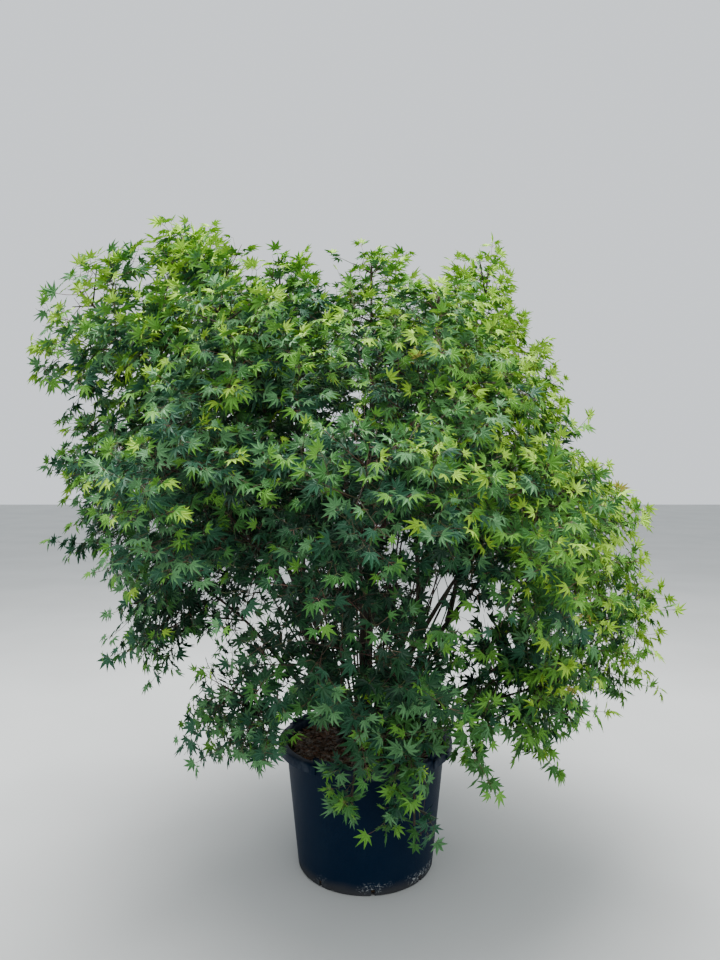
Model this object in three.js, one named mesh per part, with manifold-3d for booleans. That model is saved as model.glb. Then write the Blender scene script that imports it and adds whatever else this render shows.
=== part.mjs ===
// A Japanese maple grown as a many-stemmed shrub in a nursery container.
// Millimetres, +Z up. The origin is the middle of the pot's flat underside, -Y is the front.

import * as THREE from 'three';
import { mergeVertices } from 'three/addons/utils/BufferGeometryUtils.js';
import Module from 'manifold-3d';

const wasm = await Module();
wasm.setup();

// Pot
const POT_HEIGHT = 500;
const RIM_RADIUS = 350;
const BASE_RADIUS = 270;
const WALL_TOP_RADIUS = 318;
const WALL = 5;
const FLOOR = 7;
const BASE_ROUND = 10;
const RIM_BAND = 35;
const RIM_ROUND = 6;
const RIM_THICKNESS = 10;
const POT_SEGMENTS = 36;

// Drainage notches round the foot of the pot
const NOTCH_COUNT = 8;
const NOTCH_WIDTH = 14;
const NOTCH_HEIGHT = 28;
const FIRST_NOTCH = -84.5;
const NOTCH_DEPTH = 14;

// Handles that stand on the rim, by azimuth in degrees
const HANDLE_AZIMUTHS = { front_left: -115, front_right: -35, back_right: 65, back_left: 145 };
const HANDLE_WIDTH = 116;
const HANDLE_HEIGHT = 45;
const HANDLE_BAR = 17;
const HANDLE_POST = 18;
const HANDLE_DEPTH = 16;

// Compost, bark mulch on top
const SOIL_TOP = 472;
const SOIL_EDGE = 462;
const SOIL_FLAT_RADIUS = 190;

// Space left between neighbours, and how far foliage stays from limbs and pot
const SEAT_GAP = 0.3;
const SPACE_MARGIN = 1.5;
const LIMB_CLEARANCE = 4;
const SEAM_TOLERANCE = 0.05;

// Trunk: the leading stem of the clump, with roots that spread at its foot
const TRUNK_FOOT = SOIL_TOP + SEAT_GAP;
const TRUNK_BENDS = [[4, 2, 700], [10, -4, 1060], [24, 0, 1440]];
const TRUNK_TIP = [25, 70, 1960];
const TRUNK_TIP_RADIUS = 7;
const TRUNK_RADIUS = 27;
const STOOL_RADIUS = 80;
const STOOL_HEIGHT = 42;
const STOOL_RISES = [-30, 0, 18, 44, 88];
const STOOL_TOP = 130;
const ROOT_COUNT = 6;
const ROOT_REACH = 142;
const ROOT_RADIUS = 21;
const ROOT_RISE = 46;

// Boughs leave the stool this far out and up
const BOUGH_FOOT_RADIUS = 46;
const BOUGH_FOOT_RISE = 34;
const BOUGH_TAPER = 0.42;
const COLLAR_SWELL = 0.3;
const COLLAR_LENGTH = 45;

// Leaves and twigs, larger than life because they stand for whole sprays. A small mass, whose
// half sizes are less than FULL_MASS on the average, has fewer and smaller leaves.
const LEAF_LENGTH = 235;
const FULL_MASS = 300;
const LEAF_THICKNESS = 7;
const LEAF_RIB_START = 0.3;
const LEAF_DROOP = 0.16;
const LEAST_HANG = 0.25;
const MORE_HANG = 0.9;
const LEAF_ROLL = 0.6;
const LEAF_TURN = 0.7;
const SHORTEST_LEAF = 0.85;
const LONGEST_LEAF = 1.1;
const STEM_END_RADIUS = 8;
const TWIG_RADIUS = 3.6;
const TWIG_TAPER = 0.85;
const TWIG_END = 8;
const TWIG_PAIRS = 3;
const LEAST_SPREAD = 52;
const MORE_SPREAD = 22;
const LONGEST_TWIG = 320;
const SHORTEST_TWIG = 45;
const SHARE_AT_TWIG_ENDS = 0.4;
const FIRST_SIDE_LEAF = 0.35;
const LAST_SIDE_LEAF = 0.95;
const LEAVES_PER_MASS = 10;
const LEAVES_PER_SMALL_MASS = 5;
const TRIES_PER_LEAF = 50;
const FIRST_SEED = 101;

// Lobes of a leaf as angle from its midrib in degrees and reach as a share of the middle lobe
const LEAF_LOBES = [[0, 1], [23, 0.46], [46, 0.92], [72, 0.42], [98, 0.7], [180, 0]];
const LEAF_PALM = 0.36;

/**
 * Every bough carries the mass of foliage of its own name. Tips and centres are x, y, z,
 * a size is half the space of a mass along x, y, z, and girth is a radius.
 * Boughs of the trunk start at the stool unless at says how far up the trunk they fork.
 */
const BOUGHS = [
  { name: 'right', girth: 14, lift: 0.62, tip: [535, 60, 1190],
    centre: [755, 50, 1380], size: [315, 430, 350] },
  { name: 'back_right', girth: 14, lift: 0.6, tip: [370, 430, 1260],
    centre: [540, 640, 1450], size: [420, 400, 400] },
  { name: 'back', girth: 13, lift: 0.62, tip: [10, 590, 1270],
    centre: [0, 800, 1450], size: [400, 360, 400] },
  { name: 'back_left', girth: 14, lift: 0.6, tip: [-430, 440, 1260],
    centre: [-620, 630, 1450], size: [430, 400, 400] },
  { name: 'left', girth: 17, lift: 0.6, tip: [-775, 10, 1850],
    centre: [-960, -40, 2080], size: [350, 390, 430] },
  { name: 'left_low', girth: 13, lift: 0.42, tip: [-430, -70, 935],
    centre: [-635, -120, 1110], size: [310, 390, 320] },
  { name: 'front_left', girth: 14, lift: 0.6, tip: [-335, -440, 1260],
    centre: [-490, -600, 1450], size: [380, 390, 390] },
  { name: 'front', girth: 13, lift: 0.64, tip: [-20, -560, 1270],
    centre: [-10, -760, 1440], size: [400, 360, 400] },
  { name: 'front_right', girth: 14, lift: 0.6, tip: [300, -420, 1190],
    centre: [455, -580, 1360], size: [360, 370, 400] },
  { name: 'right_low', girth: 13, lift: 0.5, tip: [625, -60, 850],
    centre: [840, -60, 980], size: [335, 350, 285] },
  { name: 'top_right', parent: 'trunk', at: 0.62, girth: 11, lift: 0.6, tip: [360, 10, 1850],
    centre: [425, 0, 2110], size: [215, 380, 430] },
  { name: 'top_left', parent: 'trunk', at: 0.66, girth: 11, lift: 0.6, tip: [-240, -30, 1840],
    centre: [-285, -50, 2080], size: [240, 380, 440] },
  { name: 'left_peak', parent: 'left', at: 0.66, girth: 12, lift: 0.55, tip: [-595, 60, 1920],
    centre: [-670, 40, 2220], size: [260, 360, 480] },
  { name: 'left_middle', parent: 'left', at: 0.42, girth: 11, lift: 0.5, tip: [-700, -60, 1390],
    centre: [-860, -60, 1580], size: [320, 400, 390] },
  { name: 'low_left_spray', parent: 'left_low', at: 0.3, girth: 8, lift: 0.6, tip: [-300, -190, 670],
    centre: [-415, -275, 745], size: [215, 250, 225] },
  { name: 'front_top_left', parent: 'front_left', at: 0.62, girth: 11, lift: 0.5, tip: [-330, -340, 1660],
    centre: [-410, -470, 1880], size: [380, 390, 420] },
  { name: 'front_top', parent: 'front', at: 0.6, girth: 11, lift: 0.45, tip: [115, -340, 1650],
    centre: [170, -470, 1880], size: [395, 390, 420] },
  { name: 'front_low', parent: 'front', at: 0.36, girth: 9, lift: 0.6, tip: [-60, -420, 890],
    centre: [-70, -590, 980], size: [390, 330, 270] },
  { name: 'rim_spray', parent: 'front', at: 0.16, girth: 6, lift: 0.9, tip: [115, -340, 650],
    centre: [145, -425, 475], size: [125, 120, 215] },
  { name: 'rim_spray_left', parent: 'front_left', at: 0.14, girth: 5, lift: 0.9, tip: [-40, -345, 640],
    centre: [-50, -425, 490], size: [90, 105, 150] },
  { name: 'low_right_spray', parent: 'front_right', at: 0.3, girth: 9, lift: 0.7, tip: [320, -290, 740],
    centre: [455, -370, 790], size: [290, 290, 330] },
  { name: 'inner_spray', parent: 'front_right', at: 0.16, girth: 7, lift: 0.6, tip: [100, -175, 670],
    centre: [140, -270, 750], size: [270, 230, 220] },
  { name: 'right_shoulder', parent: 'right', at: 0.6, girth: 11, lift: 0.5, tip: [485, 30, 1620],
    centre: [560, 20, 1830], size: [240, 410, 370] },
  { name: 'back_top_right', parent: 'back_right', at: 0.62, girth: 11, lift: 0.5, tip: [210, 380, 1740],
    centre: [260, 520, 1990], size: [400, 390, 400] },
  { name: 'back_low', parent: 'back', at: 0.36, girth: 9, lift: 0.6, tip: [40, 430, 890],
    centre: [0, 620, 980], size: [480, 370, 290] },
  { name: 'back_top_left', parent: 'back_left', at: 0.62, girth: 11, lift: 0.5, tip: [-280, 380, 1740],
    centre: [-350, 520, 2000], size: [400, 390, 400] },
];
const CROWN_TOP = { name: 'top_centre', centre: [25, 60, 2120], size: [250, 400, 460] };
const STOOL_BOUGHS = BOUGHS.filter((bough) => !bough.parent).length;

const UP = new THREE.Vector3(0, 0, 1);
const LIMB_STEPS = 5;
const LIMB_SIDES = 5;
const TRUNK_SIDES = 7;
const TRUNK_STEPS = 8;
const ROOT_SIDES = 4;
const TWIG_SIDES = 3;
const STEM_STEPS = 2;

const plastic = new THREE.MeshStandardMaterial({ color: 0x161a22, roughness: 0.62, metalness: 0 });
const mulch = new THREE.MeshStandardMaterial({ color: 0x5a3d2b, roughness: 1, metalness: 0 });
const bark = new THREE.MeshStandardMaterial({ color: 0x3a332b, roughness: 0.85, metalness: 0 });
const leafGreen = new THREE.MeshStandardMaterial({ color: 0x3f6b35, roughness: 0.6, metalness: 0 });

const vector = ([x, y, z]) => new THREE.Vector3(x, y, z);
const radians = THREE.MathUtils.degToRad;
const around = (azimuth, reach, height) => new THREE.Vector3(
  reach * Math.cos(azimuth), reach * Math.sin(azimuth), height);

/** Repeatable random numbers from 0 to 1. */
function randomFrom(seed) {
  let state = seed;
  return () => {
    state = (state + 0x6d2b79f5) | 0;
    let mixed = Math.imul(state ^ (state >>> 15), state | 1);
    mixed ^= mixed + Math.imul(mixed ^ (mixed >>> 7), mixed | 61);
    return ((mixed ^ (mixed >>> 14)) >>> 0) / 4294967296;
  };
}

/** A closed three.js geometry as a solid that can be joined and cut. */
function solid(geometry) {
  const bare = geometry.clone();
  bare.deleteAttribute('normal');
  bare.deleteAttribute('uv');
  const merged = mergeVertices(bare, 1e-3);
  const corners = merged.index.array;
  const faces = [];
  for (let i = 0; i < corners.length; i += 3) {
    const [a, b, c] = [corners[i], corners[i + 1], corners[i + 2]];
    if (a !== b && b !== c && c !== a) faces.push(a, b, c);
  }
  return new wasm.Manifold(new wasm.Mesh({
    numProp: 3,
    vertProperties: new Float32Array(merged.attributes.position.array),
    triVerts: new Uint32Array(faces),
  }));
}

/** The largest piece of a solid, so that a scrap cut loose is dropped. */
function largest(body) {
  const pieces = body.simplify(SEAM_TOLERANCE).decompose();
  return pieces.reduce((best, piece) => (piece.volume() > best.volume() ? piece : best));
}

/** A named mesh made from a solid. */
function meshOf(name, body, material) {
  const { vertProperties, triVerts } = body.getMesh();
  const geometry = new THREE.BufferGeometry();
  geometry.setAttribute('position', new THREE.BufferAttribute(new Float32Array(vertProperties), 3));
  geometry.setIndex(new THREE.BufferAttribute(new Uint32Array(triVerts), 1));
  geometry.computeVertexNormals();
  const mesh = new THREE.Mesh(geometry, material);
  mesh.name = name;
  return mesh;
}

/** A closed box between two corners. */
function boxBetween(low, high) {
  const box = new THREE.BoxGeometry(high[0] - low[0], high[1] - low[1], high[2] - low[2]);
  box.translate((low[0] + high[0]) / 2, (low[1] + high[1]) / 2, (low[2] + high[2]) / 2);
  return box;
}

/** A tube bent along a chain of points, with its own radius at each; faced says how its foot is cut. */
function tube(points, radii, sides, faced = null) {
  const steps = points.length - 1;
  const geometry = new THREE.CylinderGeometry(1, 1, 1, sides, steps);
  const frames = [];
  let normal = new THREE.Vector3(1, 0, 0);
  for (let i = 0; i <= steps; i++) {
    let ahead = points[Math.min(i + 1, steps)].clone().sub(points[Math.max(i - 1, 0)]).normalize();
    if (i === 0 && faced) ahead = faced;
    normal = normal.clone().addScaledVector(ahead, -normal.dot(ahead)).normalize();
    frames.push({ normal, side: normal.clone().cross(ahead) });
  }
  const position = geometry.attributes.position;
  for (let i = 0; i < position.count; i++) {
    const ring = Math.round((position.getY(i) + 0.5) * steps);
    const point = points[ring].clone();
    point.addScaledVector(frames[ring].normal, position.getX(i) * radii[ring]);
    point.addScaledVector(frames[ring].side, position.getZ(i) * radii[ring]);
    position.setXYZ(i, point.x, point.y, point.z);
  }
  return geometry;
}

/** Points of an arc from one end to the other; lift is the share of the rise gained half way out. */
function arcPoints(from, to, lift, steps) {
  const middle = from.clone().lerp(to, 0.5);
  middle.z = from.z + lift * (to.z - from.z);
  const arc = new THREE.QuadraticBezierCurve3(from, middle, to);
  return arc.getPoints(steps);
}

/** A place along a chain of points, as a share of the way. */
function pointAlong(points, share) {
  const place = Math.min(share, 1) * (points.length - 1);
  const step = Math.min(Math.floor(place), points.length - 2);
  return points[step].clone().lerp(points[step + 1], place - step);
}

/** Radii along a bough: an even taper, with a swollen collar where it leaves another limb. */
function boughRadii(points, girth, swell) {
  const length = points[0].distanceTo(points[points.length - 1]);
  return points.map((_, i) => {
    const share = i / (points.length - 1);
    const collar = 1 + swell * Math.exp(-share * length / COLLAR_LENGTH);
    return girth * (1 - (1 - BOUGH_TAPER) * share) * collar;
  });
}

/** The shortest distance between two straight pieces. */
function distanceBetween(a, b, c, d) {
  const u = b.clone().sub(a);
  const v = d.clone().sub(c);
  const w = a.clone().sub(c);
  const uu = u.dot(u);
  const uv = u.dot(v);
  const vv = v.dot(v);
  const uw = u.dot(w);
  const vw = v.dot(w);
  const clamp = (value) => Math.min(1, Math.max(0, value));
  const spread = uu * vv - uv * uv;
  const isSkew = spread > 1e-9;
  let s = isSkew ? clamp((uv * vw - vv * uw) / spread) : 0;
  const t = clamp((uv * s + vw) / vv);
  s = clamp((uv * t - uw) / uu);
  return w.addScaledVector(u, s).addScaledVector(v, -t).length();
}

/** The outer radius of the pot's wall at a height. */
function wallRadius(height) {
  return BASE_RADIUS + (WALL_TOP_RADIUS - BASE_RADIUS) * height / (POT_HEIGHT - RIM_BAND);
}

/** The pot: a turned shell with a flat floor, a rim rolled over and drainage notches. */
function makePot() {
  const lip = RIM_RADIUS - WALL;
  const wallTop = wallRadius(POT_HEIGHT);
  const profile = [
    [0, 0], [BASE_RADIUS - BASE_ROUND, 0], [BASE_RADIUS - BASE_ROUND * 0.29, BASE_ROUND * 0.29],
    [wallRadius(BASE_ROUND), BASE_ROUND],
    [wallRadius(POT_HEIGHT - RIM_THICKNESS), POT_HEIGHT - RIM_THICKNESS],
    [lip, POT_HEIGHT - RIM_THICKNESS], [lip, POT_HEIGHT - RIM_BAND], [RIM_RADIUS, POT_HEIGHT - RIM_BAND],
    [RIM_RADIUS, POT_HEIGHT - RIM_ROUND], [RIM_RADIUS - RIM_ROUND, POT_HEIGHT],
    [wallTop - WALL + RIM_ROUND, POT_HEIGHT], [wallTop - WALL, POT_HEIGHT - RIM_ROUND],
    [wallRadius(BASE_ROUND + FLOOR) - WALL, BASE_ROUND + FLOOR],
    [BASE_RADIUS - BASE_ROUND - WALL, FLOOR], [0, FLOOR],
  ];
  const shell = new THREE.LatheGeometry(profile.map(([r, h]) => new THREE.Vector2(r, h)), POT_SEGMENTS);
  shell.rotateX(Math.PI / 2);
  let pot = solid(shell);
  for (let i = 0; i < NOTCH_COUNT; i++) {
    const notch = boxBetween(
      [BASE_RADIUS - NOTCH_DEPTH, -NOTCH_WIDTH / 2, -1], [RIM_RADIUS, NOTCH_WIDTH / 2, NOTCH_HEIGHT]);
    notch.rotateZ(radians(FIRST_NOTCH + i * 360 / NOTCH_COUNT));
    pot = pot.subtract(solid(notch));
  }
  return pot;
}

/** One handle: two posts and a grip bar, cut from a plate with its upper corners rounded. */
function makeHandle(azimuth) {
  const half = HANDLE_WIDTH / 2;
  const shoulder = HANDLE_HEIGHT - HANDLE_BAR;
  const plate = new THREE.Shape();
  plate.moveTo(-half, 0);
  plate.lineTo(-half + HANDLE_POST, 0);
  plate.lineTo(-half + HANDLE_POST, shoulder);
  plate.lineTo(half - HANDLE_POST, shoulder);
  plate.lineTo(half - HANDLE_POST, 0);
  plate.lineTo(half, 0);
  plate.lineTo(half, shoulder);
  plate.absarc(half - HANDLE_BAR, shoulder, HANDLE_BAR, 0, Math.PI / 2);
  plate.absarc(-half + HANDLE_BAR, shoulder, HANDLE_BAR, Math.PI / 2, Math.PI);
  const options = { depth: HANDLE_DEPTH, bevelEnabled: false, curveSegments: 3 };
  const loop = new THREE.ExtrudeGeometry(plate, options);
  loop.translate(0, 0, -HANDLE_DEPTH / 2);
  loop.rotateX(Math.PI / 2);
  loop.rotateZ(Math.PI / 2);
  loop.translate((RIM_RADIUS + WALL_TOP_RADIUS - WALL) / 2, 0, POT_HEIGHT + SEAT_GAP);
  loop.rotateZ(radians(azimuth));
  return solid(loop);
}

/** The compost that fills the pot to just below its rim. */
function makeSoil() {
  const inner = (height) => wallRadius(height) - WALL - SEAT_GAP;
  const profile = [
    [0, FLOOR + SEAT_GAP], [BASE_RADIUS - BASE_ROUND - WALL - SEAT_GAP, FLOOR + SEAT_GAP],
    [inner(BASE_ROUND + FLOOR), BASE_ROUND + FLOOR + SEAT_GAP], [inner(SOIL_EDGE), SOIL_EDGE],
    [SOIL_FLAT_RADIUS, SOIL_TOP], [0, SOIL_TOP],
  ];
  const fill = new THREE.LatheGeometry(profile.map(([r, h]) => new THREE.Vector2(r, h)), POT_SEGMENTS);
  fill.rotateX(Math.PI / 2);
  return solid(fill);
}

/** The trunk's line: upright from the stool, with a slight lean above. */
function trunkPoints() {
  const foot = new THREE.Vector3(0, 0, TRUNK_FOOT);
  const curve = new THREE.CatmullRomCurve3([foot, ...TRUNK_BENDS.map(vector), vector(TRUNK_TIP)]);
  return curve.getPoints(TRUNK_STEPS);
}

/** The trunk's radius at a height above the compost: a wide stool that narrows to an even taper. */
function trunkRadius(rise) {
  const share = Math.min(1, rise / (TRUNK_TIP[2] - TRUNK_FOOT));
  const stool = (STOOL_RADIUS - TRUNK_RADIUS) * Math.exp(-((rise / STOOL_HEIGHT) ** 1.3));
  return TRUNK_RADIUS + (TRUNK_TIP_RADIUS - TRUNK_RADIUS) * share + stool;
}

/** The trunk with its spreading roots, cut flat at the compost; grow makes it fatter all over. */
function makeTrunk(grow) {
  const upper = trunkPoints().filter((point) => point.z > TRUNK_FOOT + STOOL_TOP);
  const points = STOOL_RISES.map((rise) => new THREE.Vector3(0, 0, TRUNK_FOOT + rise)).concat(upper);
  const radii = points.map((point) => trunkRadius(Math.max(0, point.z - TRUNK_FOOT)) + grow);
  let trunk = solid(tube(points, radii, TRUNK_SIDES));
  for (let i = 0; i < ROOT_COUNT; i++) {
    const azimuth = 2 * Math.PI * (i + 0.25 * Math.sin(3 * i)) / ROOT_COUNT;
    const reach = ROOT_REACH * (1 + 0.16 * Math.sin(5 * i));
    const root = [
      around(azimuth, TRUNK_RADIUS, TRUNK_FOOT + ROOT_RISE),
      around(azimuth + 0.08, reach * 0.6, TRUNK_FOOT + ROOT_RISE * 0.2),
      around(azimuth + 0.2, reach, TRUNK_FOOT - ROOT_RADIUS * 0.35),
    ];
    const sizes = [ROOT_RADIUS + grow, ROOT_RADIUS * 0.85 + grow, ROOT_RADIUS * 0.45 + grow];
    trunk = trunk.add(solid(tube(root, sizes, ROOT_SIDES)));
  }
  const below = boxBetween([-RIM_RADIUS, -RIM_RADIUS, 0], [RIM_RADIUS, RIM_RADIUS, TRUNK_FOOT - grow]);
  return largest(trunk.subtract(solid(below)));
}

/** Works out the line and radii of every bough, each from its parent's line. */
function layOutBoughs() {
  const limbs = { trunk: { points: trunkPoints() } };
  limbs.trunk.radii = limbs.trunk.points.map((point) => trunkRadius(point.z - TRUNK_FOOT));
  BOUGHS.forEach((bough, index) => {
    const azimuth = 2 * Math.PI * (index + 0.3) / STOOL_BOUGHS;
    const foot = bough.parent
      ? pointAlong(limbs[bough.parent].points, bough.at)
      : around(azimuth, BOUGH_FOOT_RADIUS, SOIL_TOP + BOUGH_FOOT_RISE);
    const points = arcPoints(foot, vector(bough.tip), bough.lift, LIMB_STEPS);
    limbs[bough.name] = { points, radii: boughRadii(points, bough.girth, bough.parent ? COLLAR_SWELL : 0) };
  });
  return limbs;
}

/** The convex space of one mass: an ellipsoid cut by planes half way to the other masses. */
function spaceOf(mass, masses) {
  const centre = vector(mass.centre);
  const size = vector(mass.size);
  const weight = size.dot(size) / 3;
  const planes = masses.filter((other) => other !== mass).map((other) => {
    const towards = vector(other.centre).sub(centre);
    const distance = towards.length();
    const otherSize = vector(other.size);
    const reach = (distance * distance + weight - otherSize.dot(otherSize) / 3) / (2 * distance);
    return { normal: towards.divideScalar(distance), reach: reach - SPACE_MARGIN };
  });
  const contains = (point) => {
    const offset = point.clone().sub(centre);
    const inPlanes = planes.every(({ normal, reach }) => offset.dot(normal) <= reach);
    return inPlanes && offset.divide(size).length() <= 1;
  };
  const exitFrom = (point, direction) => {
    const offset = point.clone().sub(centre);
    const p = offset.clone().divide(size);
    const q = direction.clone().divide(size);
    const half = p.dot(q) / q.dot(q);
    let exit = Math.sqrt(Math.max(0, half * half - (p.dot(p) - 1) / q.dot(q))) - half;
    for (const { normal, reach } of planes) {
      const speed = direction.dot(normal);
      if (speed > 1e-6) exit = Math.min(exit, (reach - offset.dot(normal)) / speed);
    }
    return exit;
  };
  return { centre, contains, exitFrom };
}

/** The shape of a maple leaf: a flattened sphere whose rim is drawn out to lobes, tips hanging. */
function leafShape(root, along, face, length) {
  const rim = 2 * (LEAF_LOBES.length - 1);
  const leaf = new THREE.SphereGeometry(1, rim, 2);
  leaf.rotateX(Math.PI / 2);
  const across = face.clone().cross(along);
  const palm = root.clone().addScaledVector(along, LEAF_PALM * length);
  const reachLong = (1 - LEAF_PALM) * length;
  const position = leaf.attributes.position;
  const corners = [];
  for (let i = 0; i < position.count; i++) {
    const turn = Math.atan2(position.getY(i), position.getX(i));
    const lobe = Math.round(Math.abs(turn) / (2 * Math.PI) * rim);
    const height = position.getZ(i);
    const point = palm.clone();
    if (Math.abs(height) > 0.5) {
      point.addScaledVector(face, Math.sign(height) * LEAF_THICKNESS / 2);
      point.addScaledVector(along, -LEAF_RIB_START * LEAF_PALM * length);
    } else {
      const [angle, share] = LEAF_LOBES[lobe];
      const isRoot = lobe === LEAF_LOBES.length - 1;
      const reach = isRoot ? LEAF_PALM * length : share * reachLong;
      const sweep = radians(angle) * Math.sign(turn);
      point.addScaledVector(along, reach * Math.cos(sweep));
      point.addScaledVector(across, reach * Math.sin(sweep));
      if (!isRoot) point.addScaledVector(face, -LEAF_DROOP * reach * reach / length);
    }
    position.setXYZ(i, point.x, point.y, point.z);
    corners.push(point);
  }
  return { geometry: leaf, corners };
}

/** A leaf's own directions: it points out along its twig and hangs, its face up and a little rolled. */
function leafPose(direction, random) {
  const hang = (LEAST_HANG + MORE_HANG * random()) * (1 - 0.85 * Math.max(0, direction.z));
  const along = direction.clone();
  along.z -= hang;
  along.normalize();
  const face = UP.clone().addScaledVector(along, -along.z).normalize();
  face.applyAxisAngle(along, LEAF_ROLL * (2 * random() - 1));
  return { along, face };
}

/**
 * The twigs of one mass. The stem runs on from the limb's tip through the space, twigs leave it
 * in opposite pairs, each pair a quarter turn from the last, and stop a leaf short of its edge.
 */
function growTwigs(limb, space, leafLength, isClear, random) {
  const end = limb.points[limb.points.length - 1];
  const heading = end.clone().sub(limb.points[limb.points.length - 2]).normalize();
  const start = end.clone().addScaledVector(heading, SEAT_GAP);
  const girth = limb.radii[limb.radii.length - 1];
  const through = space.centre.clone().sub(start).normalize();
  const length = space.exitFrom(start, through) - leafLength / 2;
  const far = start.clone().addScaledVector(through, length);
  const bend = start.clone().addScaledVector(heading, length * 0.35);
  const stem = new THREE.QuadraticBezierCurve3(start, bend, far).getPoints(STEM_STEPS);
  const stemRadii = stem.map((_, i) => girth + (STEM_END_RADIUS - girth) * i / STEM_STEPS);
  const twigs = [{ points: stem, radii: stemRadii, faced: heading }];
  const firstTurn = random() * Math.PI;
  for (let pair = 0; pair < TWIG_PAIRS; pair++) {
    const share = (pair + 0.6) / TWIG_PAIRS;
    const from = pointAlong(stem, share);
    const onward = pointAlong(stem, share + 0.1).sub(pointAlong(stem, share - 0.1)).normalize();
    const sideways = onward.clone().cross(UP).normalize();
    sideways.applyAxisAngle(onward, firstTurn + pair * Math.PI / 2 + (random() - 0.5) * 0.5);
    for (const way of [1, -1]) {
      const spread = radians(LEAST_SPREAD + MORE_SPREAD * random());
      const outward = onward.clone().multiplyScalar(Math.cos(spread));
      outward.addScaledVector(sideways, way * Math.sin(spread));
      const reach = Math.min(LONGEST_TWIG, space.exitFrom(from, outward) - leafLength / 2);
      if (reach < SHORTEST_TWIG) continue;
      const to = from.clone().addScaledVector(outward, reach);
      const fits = space.contains(from) && space.contains(to) && isClear(from, to, TWIG_RADIUS);
      if (fits) twigs.push({ points: [from, to], radii: [TWIG_RADIUS, TWIG_RADIUS * TWIG_TAPER] });
    }
  }
  return twigs;
}

/** A random place for a leaf: at a twig's end, or beside the outer half of a twig. */
function leafPlace(twigs, random) {
  const twig = Math.floor(random() * twigs.length);
  const { points } = twigs[twig];
  const onward = points[points.length - 1].clone().sub(points[points.length - 2]).normalize();
  if (random() < SHARE_AT_TWIG_ENDS) {
    const root = points[points.length - 1].clone().addScaledVector(onward, -TWIG_END);
    return { twig, root, direction: onward };
  }
  const way = random() < 0.5 ? 1 : -1;
  const share = FIRST_SIDE_LEAF + (LAST_SIDE_LEAF - FIRST_SIDE_LEAF) * random();
  const sideways = onward.clone().cross(UP).normalize();
  sideways.applyAxisAngle(onward, LEAF_TURN * (2 * random() - 1));
  const direction = onward.clone().multiplyScalar(0.5).addScaledVector(sideways, way * 0.85).normalize();
  return { twig, root: pointAlong(points, share), direction };
}

/** Leaves for one mass, each the farthest from the others of many tries that keep clear. */
function growLeaves(twigs, rods, space, leafLength, obstacles, random) {
  const leaves = [];
  const nearest = (palm) => Math.min(...leaves.map((leaf) => leaf.palm.distanceTo(palm)), Infinity);
  const count = leafLength < LEAF_LENGTH ? LEAVES_PER_SMALL_MASS : LEAVES_PER_MASS;
  for (let i = 0; i < count; i++) {
    const tries = [];
    for (let attempt = 0; attempt < TRIES_PER_LEAF; attempt++) {
      const { twig, root, direction } = leafPlace(twigs, random);
      const { along, face } = leafPose(direction, random);
      const length = leafLength * (SHORTEST_LEAF + (LONGEST_LEAF - SHORTEST_LEAF) * random());
      const { geometry, corners } = leafShape(root, along, face, length);
      if (!corners.every((corner) => space.contains(corner))) continue;
      const palm = root.clone().addScaledVector(along, 0.5 * length);
      tries.push({ twig, geometry, palm, apart: nearest(palm) });
    }
    tries.sort((a, b) => b.apart - a.apart);
    for (const { twig, geometry, palm } of tries) {
      const body = solid(geometry);
      const otherRods = rods.filter((_, index) => index !== twig);
      const others = [...obstacles, ...otherRods, ...leaves.map((leaf) => leaf.body)];
      if (others.some((other) => !other.intersect(body).isEmpty())) continue;
      leaves.push({ body, palm });
      break;
    }
  }
  return leaves;
}

/** One mass of foliage: its twigs with the leaves fused on. */
function makeFoliage(mass, limbs, obstacles, masses, seed) {
  const random = randomFrom(seed);
  const space = spaceOf(mass, masses);
  const own = limbs[mass.name] ?? limbs.trunk;
  const meanSize = mass.size.reduce((sum, size) => sum + size) / 3;
  const leafLength = LEAF_LENGTH * Math.min(1, meanSize / FULL_MASS);
  const chains = Object.values(limbs);
  const isClear = (from, to, radius) => chains.every(({ points, radii }) => (
    points.slice(1).every((point, i) => (
      distanceBetween(from, to, points[i], point) > radii[i] + radius + LIMB_CLEARANCE))));
  const twigs = growTwigs(own, space, leafLength, isClear, random);
  const rods = twigs.map(({ points, radii, faced }) => solid(tube(points, radii, TWIG_SIDES, faced)));
  const leaves = growLeaves(twigs, rods, space, leafLength, obstacles, random);
  return largest([...rods, ...leaves.map((leaf) => leaf.body)].reduce((joined, piece) => joined.add(piece)));
}

const group = new THREE.Group();

const pot = makePot();
group.add(meshOf('pot', pot, plastic));
const handles = Object.entries(HANDLE_AZIMUTHS).map(([place, azimuth]) => {
  const handle = makeHandle(azimuth);
  group.add(meshOf(`handle_${place}`, handle, plastic));
  return handle;
});
group.add(meshOf('soil', makeSoil(), mulch));

const limbs = layOutBoughs();
const trunk = makeTrunk(0);
group.add(meshOf('trunk', trunk, bark));

const grownLimbs = [makeTrunk(LIMB_CLEARANCE)];
for (const bough of BOUGHS) {
  const { points, radii } = limbs[bough.name];
  const parent = bough.parent && bough.parent !== 'trunk'
    ? solid(tube(limbs[bough.parent].points, limbs[bough.parent].radii.map((r) => r + SEAT_GAP), LIMB_SIDES))
    : makeTrunk(SEAT_GAP);
  const body = largest(solid(tube(points, radii, LIMB_SIDES)).subtract(parent));
  group.add(meshOf(`bough_${bough.name}`, body, bark));
  grownLimbs.push(solid(tube(points, radii.map((r) => r + LIMB_CLEARANCE), LIMB_SIDES)));
}

const masses = [...BOUGHS, CROWN_TOP];
const obstacles = [...grownLimbs, pot, ...handles];
masses.forEach((mass, index) => {
  const foliage = makeFoliage(mass, limbs, obstacles, masses, FIRST_SEED + index);
  group.add(meshOf(`foliage_${mass.name}`, foliage, leafGreen));
});

export default group;
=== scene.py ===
import math
import bpy
import numpy as np
from mathutils import Matrix, Vector


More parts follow.
